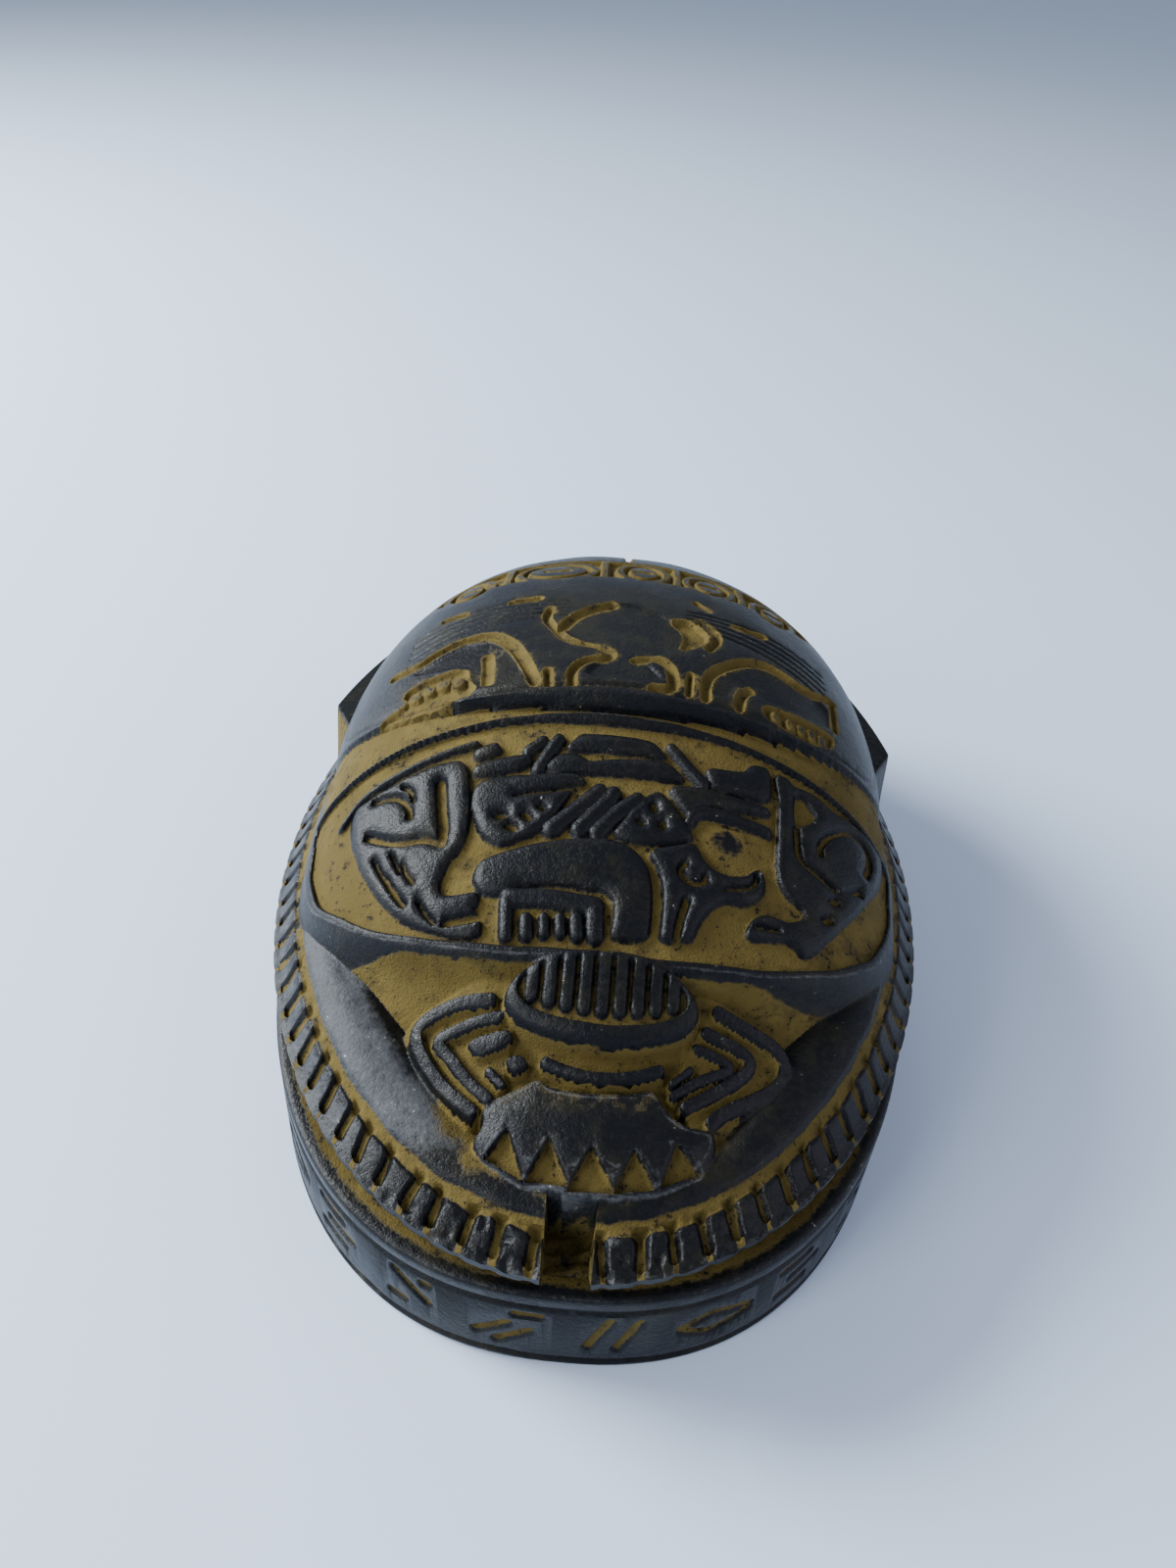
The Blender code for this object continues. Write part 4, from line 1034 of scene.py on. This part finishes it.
        skin.wear_and_sheen = np.where(inner, np.maximum(skin.wear_and_sheen * 0.6, rubbed(sunk, 0.0, 0.5) * 0.4), skin.wear_and_sheen)


@dataclass(frozen=True)
class Base:
    """The oval base, with two lines and a row of plain strokes round its wall."""

    plan: Oval = Oval(0.0, 44.1, 66.7, 66.7, 2.35, 2.35)
    height: float = 15.0
    edge: float = 0.7
    line_width: float = 0.9
    line_depth: float = 0.5
    line_inset: float = 2.6
    stroke_width: float = 1.25
    stroke_depth: float = 0.6
    stroke_margin: float = 0.8
    stroke_pitch: float = 11.8

    @property
    def low_line(self) -> float:
        """Return the height of the lower of the two lines."""
        return self.line_inset * 0.6

    def strokes(self, length: float) -> list[Mark]:
        """Draw the plain strokes along the wall.

        Args:
            length: The wall's length.

        Returns:
            The strokes, with places along the wall and up its height.
        """
        low = self.low_line + self.line_width * 1.5 + self.stroke_margin
        high = self.height - self.line_inset - self.line_width / 2 - self.stroke_margin
        middle, span = (low + high) / 2, (high - low) / 2
        kinds = [
            [((-1.0, -0.7), (-0.2, 0.8)), ((0.2, -0.8), (1.0, 0.7))],
            [((-1.5, 0.0), (-0.3, 0.5)), ((-0.3, 0.5), (1.5, 0.1)), ((-1.5, -0.2), (-0.3, -0.6)),
             ((-0.3, -0.6), (1.5, -0.2))],
            [((-1.1, 0.7), (0.5, 0.7)), ((-0.5, 0.0), (1.1, 0.0)), ((-1.1, -0.7), (0.5, -0.7))],
            [((-0.7, 0.8), (0.9, -0.2)), ((-0.9, -0.7), (-0.3, -0.7)), ((0.7, 0.8), (0.9, 0.8))],
            [((-1.3, -0.6), (0.0, 0.2)), ((-0.4, -0.9), (0.9, -0.1)), ((0.3, 0.8), (1.3, 0.8))],
        ]
        count = int(length / self.stroke_pitch)
        marks = []
        for index in range(count):
            centre = (index + 0.5) * length / count
            for ends in kinds[index % len(kinds)]:
                marks.append(cut_line(self.stroke_width, *[(centre + px * span * 0.75, middle + pz * span)
                                                           for px, pz in ends]))
        return marks

    def travelled(self, across: Array, along: Array) -> Array:
        """Measure along the base's edge, from the rear round to the rear.

        Args:
            across: The directions' part across.
            along: Their part along.

        Returns:
            Each direction's distance along the edge.
        """
        angles = np.linspace(-math.pi, math.pi, 4001)
        xs, ys = self.plan.point(np.sin(angles), -np.cos(angles))
        lengths = np.concatenate([[0.0], np.cumsum(np.hypot(np.diff(xs), np.diff(ys)))])
        return np.interp(np.arctan2(across, -along), angles, lengths)

    def wall(self, across: Array, along: Array, rise: Array) -> tuple[Array, Array]:
        """Cut the lines and strokes into the wall.

        Args:
            across: The directions' part across.
            along: Their part along.
            rise: The places' height.

        Returns:
            How deep the wall is cut at each place, and its ink.
        """
        place = self.travelled(across, along)
        depth = carve(self.strokes(float(place.max())), place, rise, FAR)
        cut = self.stroke_depth * sinking(depth, 0.5)
        ink = np.clip(0.55 - depth, 0.0, 1.0)
        for middle in (self.low_line, self.height - self.line_inset):
            reach = np.abs(rise - middle + 0.06 * ripple(place, rise, 9.0, 41)) - self.line_width / 2
            cut = np.maximum(cut, self.line_depth * sinking(reach, 0.4))
            ink = np.maximum(ink, ink_of(reach + 0.15) * 0.82)
        return cut, ink


@dataclass(frozen=True)
class Ring:
    """One ring of points below the carved surface."""

    across: Array
    along: Array

    def on(self, plan: Oval, height: Array, share: Array = 1.0, grow: Array = 0.0) -> Array:
        """Return the ring's places on an oval at a height."""
        x, y = plan.point(self.across, self.along, share, grow)
        return np.stack([x, y, np.broadcast_to(height, x.shape)], axis=1)


# Gives a ring's places, ink, wash and wear
RingMaker = Callable[[Ring], tuple]


@dataclass(frozen=True)
class Stone:
    """The finish: near-black polished stone with matt ochre in its cuts, rubbed grey edges and painted grey
    sheen on the legs' arms.
    """

    name: str = "black stone with ochre"
    stone: tuple = (0.0016, 0.0018, 0.0028)
    stone_light: tuple = (0.0045, 0.0050, 0.0068)
    # Grey of rubbed edges, also used for the painted sheen on the legs' arms and teeth's tops
    rubbed: tuple = (0.105, 0.110, 0.118)
    chip: tuple = (0.42, 0.41, 0.37)
    ochre: tuple = (0.086, 0.060, 0.0115)
    ochre_light: tuple = (0.130, 0.093, 0.021)
    ochre_dark: tuple = (0.030, 0.021, 0.006)
    haze: tuple = (0.0125, 0.0112, 0.0052)
    stone_gloss: float = 0.30
    ochre_gloss: float = 0.82


class Wire:
    """A socket in a material, with maths written as Python expressions."""

    def __init__(self, shop: "Bench", socket: bpy.types.NodeSocket) -> None:
        """Keep the bench that adds nodes and the socket that holds the value."""
        self.shop = shop
        self.socket = socket

    def maths(self, operation: str, *others: object) -> "Wire":
        """Add a Math node on this value and others."""
        return self.shop.node("ShaderNodeMath", {"operation": operation}, dict(enumerate([self, *others])))

    def __add__(self, other: object) -> "Wire":
        """Add a value."""
        return self.maths("ADD", other)

    def __sub__(self, other: object) -> "Wire":
        """Take a value away."""
        return self.maths("SUBTRACT", other)

    def __rsub__(self, other: object) -> "Wire":
        """Take this value away from another."""
        return self.shop.node("ShaderNodeMath", {"operation": "SUBTRACT"}, {0: other, 1: self})

    def __mul__(self, other: object) -> "Wire":
        """Multiply by a value."""
        return self.maths("MULTIPLY", other)

    __radd__ = __add__
    __rmul__ = __mul__

    def most(self, other: object) -> "Wire":
        """Return the larger of two values."""
        return self.maths("MAXIMUM", other)

    def between(self, low: float, high: float) -> "Wire":
        """Return 0 below a low value and 1 above a high one, eased between them."""
        return self.shop.node("ShaderNodeMapRange", {"interpolation_type": "SMOOTHSTEP"},
                              {"Value": self, "From Min": low, "From Max": high})


class Bench:
    """Makes one material's nodes."""

    def __init__(self, name: str) -> None:
        """Start a material with its usual shader."""
        self.material = bpy.data.materials.new(name)
        self.material.use_nodes = True
        self.tree = self.material.node_tree
        self.shader = self.tree.nodes["Principled BSDF"]
        self.place = self.node("ShaderNodeTexCoord", {}, {}, "Object")

    def node(self, kind: str, settings: dict, values: dict, output: object = 0) -> Wire:
        """Add a node.

        Args:
            kind: The node's type.
            settings: Its own settings.
            values: The values or wires of its inputs.
            output: The output that is wanted.

        Returns:
            A wire on that output.
        """
        made = self.tree.nodes.new(kind)
        for name, value in settings.items():
            setattr(made, name, value)
        for key, value in values.items():
            self.feed(made.inputs[key], value)
        return Wire(self, made.outputs[output])

    def feed(self, socket: bpy.types.NodeSocket, value: object) -> None:
        """Set a socket to a value or link it to a wire."""
        if isinstance(value, Wire):
            self.tree.links.new(value.socket, socket)
        elif isinstance(value, tuple) and len(value) == 3 and socket.type == "RGBA":
            socket.default_value = (*value, 1.0)
        else:
            socket.default_value = value

    def noise(self, size: float, detail: float = 3.0, rough: float = 0.55) -> Wire:
        """Return noise whose patches are about a size in metres."""
        return self.node("ShaderNodeTexNoise", {}, {"Vector": self.place, "Scale": 1 / size, "Detail": detail,
                                                    "Roughness": rough})

    def attribute(self, name: str) -> Wire:
        """Return one of the mesh's own values."""
        return self.node("ShaderNodeAttribute", {"attribute_name": name}, {}, "Fac")

    def mix(self, share: Wire, first: object, second: object) -> Wire:
        """Return one colour turning into another."""
        return self.node("ShaderNodeMix", {"data_type": "RGBA"}, {"Factor": share, 6: first, 7: second}, 2)


def dress_stone(finish: Stone) -> bpy.types.Material:
    """Return the carved stone's material.

    Args:
        finish: Its colours and gloss.

    Returns:
        A material that reads the mesh's own ink, wash and wear values.
    """
    bench = Bench(finish.name)
    # The third value holds rubbed grey and the painted sheen of the legs' arms and teeth's tops
    ink, wash, wear_and_sheen = (bench.attribute(name) for name in VALUES)
    broad, patchy = bench.noise(0.012), bench.noise(0.0028, 5.0, 0.65)
    fine, grain = bench.noise(0.0007, 4.0, 0.7), bench.noise(0.00028, 2.0, 0.6)
    filled = (ink + (patchy - 0.5) * 0.30 + (fine - 0.5) * 0.16).between(0.53, 0.64)
    smeared = (wash + (patchy - 0.5) * 0.75 + (fine - 0.5) * 0.35).between(0.42, 0.72)
    powder = filled.most(smeared)
    specks = (fine + (patchy - 0.5) * 0.6).between(0.64, 0.72)
    soiled = (patchy + (broad - 0.5) * 0.7).between(0.44, 0.76)
    ochre = bench.mix(broad.between(0.35, 0.70), finish.ochre, finish.ochre_light)
    ochre = bench.mix(soiled * 0.70, ochre, finish.ochre_dark)
    ochre = bench.mix(specks * 0.85, ochre, finish.stone)
    black = bench.mix(fine.between(0.45, 0.75), finish.stone, finish.stone_light)
    dusty = (patchy + (broad - 0.5) * 0.8 + wash * 0.4).between(0.45, 0.80)
    black = bench.mix(dusty * 0.7, black, finish.haze)
    # Rubbed grey on worn edges, and painted sheen where the legs' arms and teeth's tops carry it
    edge = (wear_and_sheen + ((patchy - 0.5) * 0.9 + (fine - 0.5) * 0.5) * (1 - wear_and_sheen * 0.60)).between(0.62, 1.05)
    black = bench.mix(edge * 0.75, black, finish.rubbed)
    chips = (fine + (patchy - 0.5) * 0.35 + wear_and_sheen * 0.07).between(0.765, 0.80)
    black = bench.mix(chips * 0.75, black, finish.chip)
    gloss = (1 - powder) * (finish.stone_gloss + fine * 0.18 + edge * 0.22) + powder * finish.ochre_gloss
    bench.feed(bench.shader.inputs["Base Color"], bench.mix(powder, black, ochre))
    bench.feed(bench.shader.inputs["Roughness"], gloss)
    bench.feed(bench.shader.inputs["Specular IOR Level"], 0.21)
    relief = grain * (powder * 0.8 + 0.45) + fine * 0.8 + patchy * 1.1 - specks * powder * 0.6
    bump = bench.node("ShaderNodeBump", {}, {"Height": relief, "Strength": 0.50, "Distance": 0.00026})
    bench.feed(bench.shader.inputs["Normal"], bump)
    return bench.material


@dataclass
class CarvedScarab:
    """The whole scarab as one closed mesh, built from its parts' classes."""

    cells_across: int = 400
    cells_along: int = 580
    wall_rows: int = 46
    triangles: int = 194000
    quick_cells: tuple = (260, 380, 30)
    neck: float = 0.93
    crease: float = 48.0
    legs: Legs = field(default_factory=Legs)
    knees: Knees = field(default_factory=Knees)
    wings: WingCases = field(default_factory=WingCases)
    shield: Shield = field(default_factory=Shield)
    head: Head = field(default_factory=Head)
    base: Base = field(default_factory=Base)

    def rings(self) -> list[RingMaker]:
        """Draw the scarab's outside from the legs' edge down to the underside.

        Returns:
            Functions that take a ring and give its places, ink, wash and wear, from above down.
        """
        legs, base = self.legs, self.base
        skirt, foot = legs.plan, base.plan
        floor, neck = base.height, self.neck

        def rim(share: float, height: float, drop: float, wear_and_sheen: float, wash: float) -> RingMaker:
            """Return a ring under the skirt's edge, drawn in at the grooves and the gap."""
            def make(ring: Ring) -> tuple:
                """Return the ring's places and values."""
                x, y = skirt.point(ring.across, ring.along)
                gap = legs.in_gap(x, y)
                notch = legs.notch(x, y) * (share > 0.96)
                scale = np.where(gap, 1 - legs.gap_share - (1 - share) * 0.2, share - notch)
                z = np.where(gap, legs.gap_floor - drop, height)
                return ring.on(skirt, z, scale, 0.0), 0.0, wash, wear_and_sheen
            return make

        def ledge(height: float, grow: float, wash: float, wear_and_sheen: float) -> RingMaker:
            """Return a ring of the ledge or of the base's rounded edges."""
            return lambda ring: (ring.on(foot, height, 1.0, grow), 0.0, wash, wear_and_sheen)

        def wall(part: float) -> RingMaker:
            """Return a ring of the base's wall at a share of its height."""
            def make(ring: Ring) -> tuple:
                """Return the ring's places and values."""
                rise = floor - base.edge - (floor - 2 * base.edge) * part
                cut, ink = base.wall(ring.across, ring.along, np.full(ring.across.shape, rise))
                return ring.on(foot, rise, 1.0, -cut), ink, 0.0, max(0.0, 0.35 - 6 * part)
            return make

        def under(share: float) -> RingMaker:
            """Return a ring of the flat underside."""
            return lambda ring: (ring.on(foot, 0.0, share), 0.0, 0.0, 0.1)

        rims = [(0.999, legs.low + 1.0, 0.1, 0.7, 0.0), (0.998, legs.low + 0.5, 0.2, 0.5, 0.0),
                (0.994, legs.low + 0.15, 0.3, 0.3, 0.1), (0.988, legs.low, 0.4, 0.0, 0.3),
                (0.965, legs.low, 0.5, 0.0, 0.6), (neck + 0.012, legs.low - 0.05, 0.6, 0.0, 0.8),
                (neck, legs.low - 0.5, 0.7, 0.0, 0.9), (neck, legs.low - 1.6, 0.75, 0.0, 1.0),
                (neck, floor + 0.9, 0.8, 0.0, 1.0), (neck + 0.006, floor + 0.25, 0.9, 0.0, 1.0),
                (neck + 0.02, floor + 0.05, 1.0, 0.0, 1.0)]
        ledges = [(floor - 0.05, -3.0, 0.95, 0.0), (floor - 0.05, -2.4, 0.9, 0.0), (floor, -1.9, 0.75, 0.0),
                  (floor, -1.3, 0.48, 0.2), (floor - 0.02, -0.7, 0.0, 0.4), (floor - 0.20, -0.25, 0.0, 0.72),
                  (floor - 0.42, -0.08, 0.0, 0.55)]
        toes = [(0.42, -0.08, 0.0, 0.4), (0.20, -0.25, 0.0, 0.6), (0.0, -0.7, 0.0, 0.4)]
        rings = [rim(*row) for row in rims] + [ledge(*row) for row in ledges]
        rings += [wall(row / self.wall_rows) for row in range(self.wall_rows + 1)]
        return rings + [ledge(*row) for row in toes] + [under(share) for share in (0.9, 0.7, 0.45, 0.2)]

    def carved(self, x: Array, y: Array) -> Skin:
        """Lay the parts over one another.

        Args:
            x: Places across.
            y: Places along.

        Returns:
            The skin of the whole carved upper side.
        """
        skin = self.legs.skin(x, y)
        self.knees.add(skin, x, y)
        wings = self.wings.skin(x, y, self.shield.top)
        skin.put(wings.height > skin.height, wings)
        shield = self.shield.skin(x, y)
        skin.put(shield.height > skin.height, shield)
        self.head.add(skin, x, y)
        return skin

    def draw_grid(self, count: int) -> bpy.types.Object:
        """Add a flat grid and draw its edge down, one step of height for each ring.

        Args:
            count: How many rings are drawn.

        Returns:
            The open box whose points carry their direction in x and y and their ring in z.
        """
        bpy.ops.object.select_all(action="DESELECT")
        cells = {"x_subdivisions": self.cells_across, "y_subdivisions": self.cells_along}
        bpy.ops.mesh.primitive_grid_add(size=2.0, **cells)
        made = bpy.context.object
        made.name = PIECE
        bpy.ops.object.mode_set(mode="EDIT")
        bpy.ops.mesh.select_mode(type="EDGE")
        bpy.ops.mesh.select_all(action="SELECT")
        bpy.ops.mesh.region_to_loop()
        for _ in range(count):
            bpy.ops.mesh.extrude_region_move(TRANSFORM_OT_translate={"value": (0.0, 0.0, -1.0)})
        bpy.ops.mesh.edge_face_add()
        bpy.ops.mesh.select_all(action="SELECT")
        bpy.ops.mesh.normals_make_consistent(inside=False)
        bpy.ops.object.mode_set(mode="OBJECT")
        return made

    def shape(self, made: bpy.types.Object) -> None:
        """Move the drawn grid's points to the carved surface and keep their values on the mesh.

        Args:
            made: The open box that draw_grid gives, which is changed.
        """
        mesh = made.data
        flat = np.empty(len(mesh.vertices) * 3)
        mesh.vertices.foreach_get("co", flat)
        flat = flat.reshape(-1, 3)
        u, v = np.clip(flat[:, 0], -1, 1), np.clip(flat[:, 1], -1, 1)
        level = np.rint(-flat[:, 2]).astype(int)
        across, along = u * np.sqrt(1 - v * v / 2), v * np.sqrt(1 - u * u / 2)
        places = np.zeros((len(level), 3))
        values = {name: np.zeros(len(level)) for name in VALUES}
        top = level == 0
        legs = self.legs
        radius = np.hypot(across[top], along[top])
        x = across[top] * legs.plan.half_width
        y = legs.plan.centre_y + along[top] * np.where(along[top] > 0, legs.plan.rear, legs.plan.front)
        edge = ease(radius / 0.02 - 49.0)
        notch = legs.notch(x, y) * edge
        scale = np.where(legs.in_gap(x, y), 1 - legs.gap_share * ease(radius * 8 - 7), 1 - notch)
        skin = self.carved(x, y)
        drawn_y = legs.plan.centre_y + (y - legs.plan.centre_y) * scale
        places[top] = np.stack([x * scale, drawn_y, skin.height], axis=1)
        for name in values:
            values[name][top] = getattr(skin, name)
        for number, ring in enumerate(self.rings(), start=1):
            here = level == number
            size = np.hypot(across[here], along[here])
            where, ink, wash, wear_and_sheen = ring(Ring(across[here] / size, along[here] / size))
            places[here] = where
            for name, value in zip(VALUES, (ink, wash, wear_and_sheen)):
                values[name][here] = value
        mesh.vertices.foreach_set("co", (places * MM).ravel())
        for name, value in values.items():
            made_value = mesh.attributes.new(name, "FLOAT", "POINT")
            made_value.data.foreach_set("value", value.astype(np.float32))
        mesh.update()

    def thin(self, made: bpy.types.Object) -> None:
        """Join facets where the surface is nearly flat and shade what stays smooth.

        Args:
            made: The shaped scarab, which is changed.
        """
        made.data.calc_loop_triangles()
        modifier = made.modifiers.new("facets", "DECIMATE")
        modifier.ratio = min(1.0, self.triangles / len(made.data.loop_triangles))
        bpy.ops.object.modifier_apply(modifier=modifier.name)
        bpy.ops.object.shade_smooth_by_angle(angle=math.radians(self.crease))

    def build(self) -> bpy.types.Object:
        """Return the finished scarab, riding on the frame."""
        made = self.draw_grid(len(self.rings()))
        self.shape(made)
        self.thin(made)
        made.data.materials.append(dress_stone(Stone()))
        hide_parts(NODE)
        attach(made, "root")
        return made


@dataclass(frozen=True)
class Lamp:
    """One soft lamp of the studio."""

    name: str
    place: tuple
    size: float
    power: float
    colour: tuple

    def light(self, aim: tuple) -> bpy.types.Object:
        """Hang the lamp.

        Args:
            aim: The place that it is turned to.

        Returns:
            The lamp.
        """
        bpy.ops.object.light_add(type="AREA", location=self.place)
        made = bpy.context.object
        made.name = self.name
        made.data.shape = "DISK"
        made.data.size = self.size
        made.data.energy = self.power
        made.data.color = self.colour
        way = made.location - Matrix.Translation(aim).to_translation()
        made.rotation_euler = way.to_track_quat("Z", "Y").to_euler()
        return made


@dataclass(frozen=True)
class Studio:
    """The pale floor, the soft light and the camera at the photograph's place."""

    floor_size: float = 14.0
    floor_colour: tuple = (0.635, 0.745, 0.91)
    sky: tuple = (0.72, 0.81, 0.96)
    sky_strength: float = 0.47
    eye: tuple = (-0.00086, -0.13010, 0.13792)
    yaw: float = -0.0152
    pitch: float = 0.6821
    roll: float = 0.0808
    lens: float = 27.08
    sensor: float = 36.0
    aim: tuple = (0.0, 0.0, 0.03)

    def floor(self) -> bpy.types.Object:
        """Return the plain floor."""
        bpy.ops.object.select_all(action="DESELECT")
        bpy.ops.mesh.primitive_plane_add(size=self.floor_size, location=(0, 0, 0))
        made = bpy.context.object
        made.name = "floor"
        bench = Bench("pale paper")
        bench.feed(bench.shader.inputs["Base Color"], self.floor_colour)
        bench.feed(bench.shader.inputs["Roughness"], 0.75)
        made.data.materials.append(bench.material)
        return made

    def lamps(self) -> list[bpy.types.Object]:
        """Return the lamps."""
        rows = [Lamp("window", (-0.64, 0.16, 0.42), 0.38, 15.0, (0.91, 0.96, 1.0)),
                Lamp("white wall", (-0.64, 0.00, 0.20), 0.36, 0.8, (0.92, 0.95, 1.0)),
                Lamp("far window", (-0.10, 0.62, 0.60), 0.30, 0.5, (0.90, 0.95, 1.0)),
                Lamp("near side", (-0.42, -0.42, 0.36), 0.30, 2.6, (0.92, 0.96, 1.0)),
                Lamp("violet bounce", (0.60, -0.24, 0.34), 0.70, 1.8, (0.86, 0.82, 1.0))]
        return [lamp.light(self.aim) for lamp in rows]

    def air(self) -> None:
        """Fill the room with soft light."""
        world = bpy.data.worlds.new("studio air")
        world.use_nodes = True
        back = world.node_tree.nodes["Background"]
        back.inputs["Color"].default_value = (*self.sky, 1.0)
        back.inputs["Strength"].default_value = self.sky_strength
        bpy.context.scene.world = world

    def camera(self) -> bpy.types.Object:
        """Return the camera at the photograph's viewing angle."""
        sin_yaw, cos_yaw = math.sin(self.yaw), math.cos(self.yaw)
        sin_pitch, cos_pitch = math.sin(self.pitch), math.cos(self.pitch)
        forward = np.array([sin_yaw * cos_pitch, cos_yaw * cos_pitch, -sin_pitch])
        level = np.array([cos_yaw, -sin_yaw, 0.0])
        upright = np.cross(level, forward)
        right = math.cos(self.roll) * level + math.sin(self.roll) * upright
        up = -math.sin(self.roll) * level + math.cos(self.roll) * upright
        bpy.ops.object.camera_add()
        made = bpy.context.object
        rows = [[right[i], up[i], -forward[i], self.eye[i]] for i in range(3)] + [[0.0, 0.0, 0.0, 1.0]]
        made.matrix_world = Matrix(rows)
        made.data.sensor_fit = "AUTO"
        made.data.sensor_width = self.sensor
        made.data.lens = self.lens
        made.data.clip_start = 0.005
        bpy.context.scene.camera = made
        return made

    def build(self) -> None:
        """Set up the whole studio."""
        self.floor()
        self.lamps()
        self.air()
        self.camera()


def main() -> None:
    """Build the scarab and its studio."""
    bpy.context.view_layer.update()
    scarab = CarvedScarab().build()
    log.info("%s: %d faces", scarab.name, len(scarab.data.polygons))
    Studio().build()


if __name__ == "__main__":
    main()
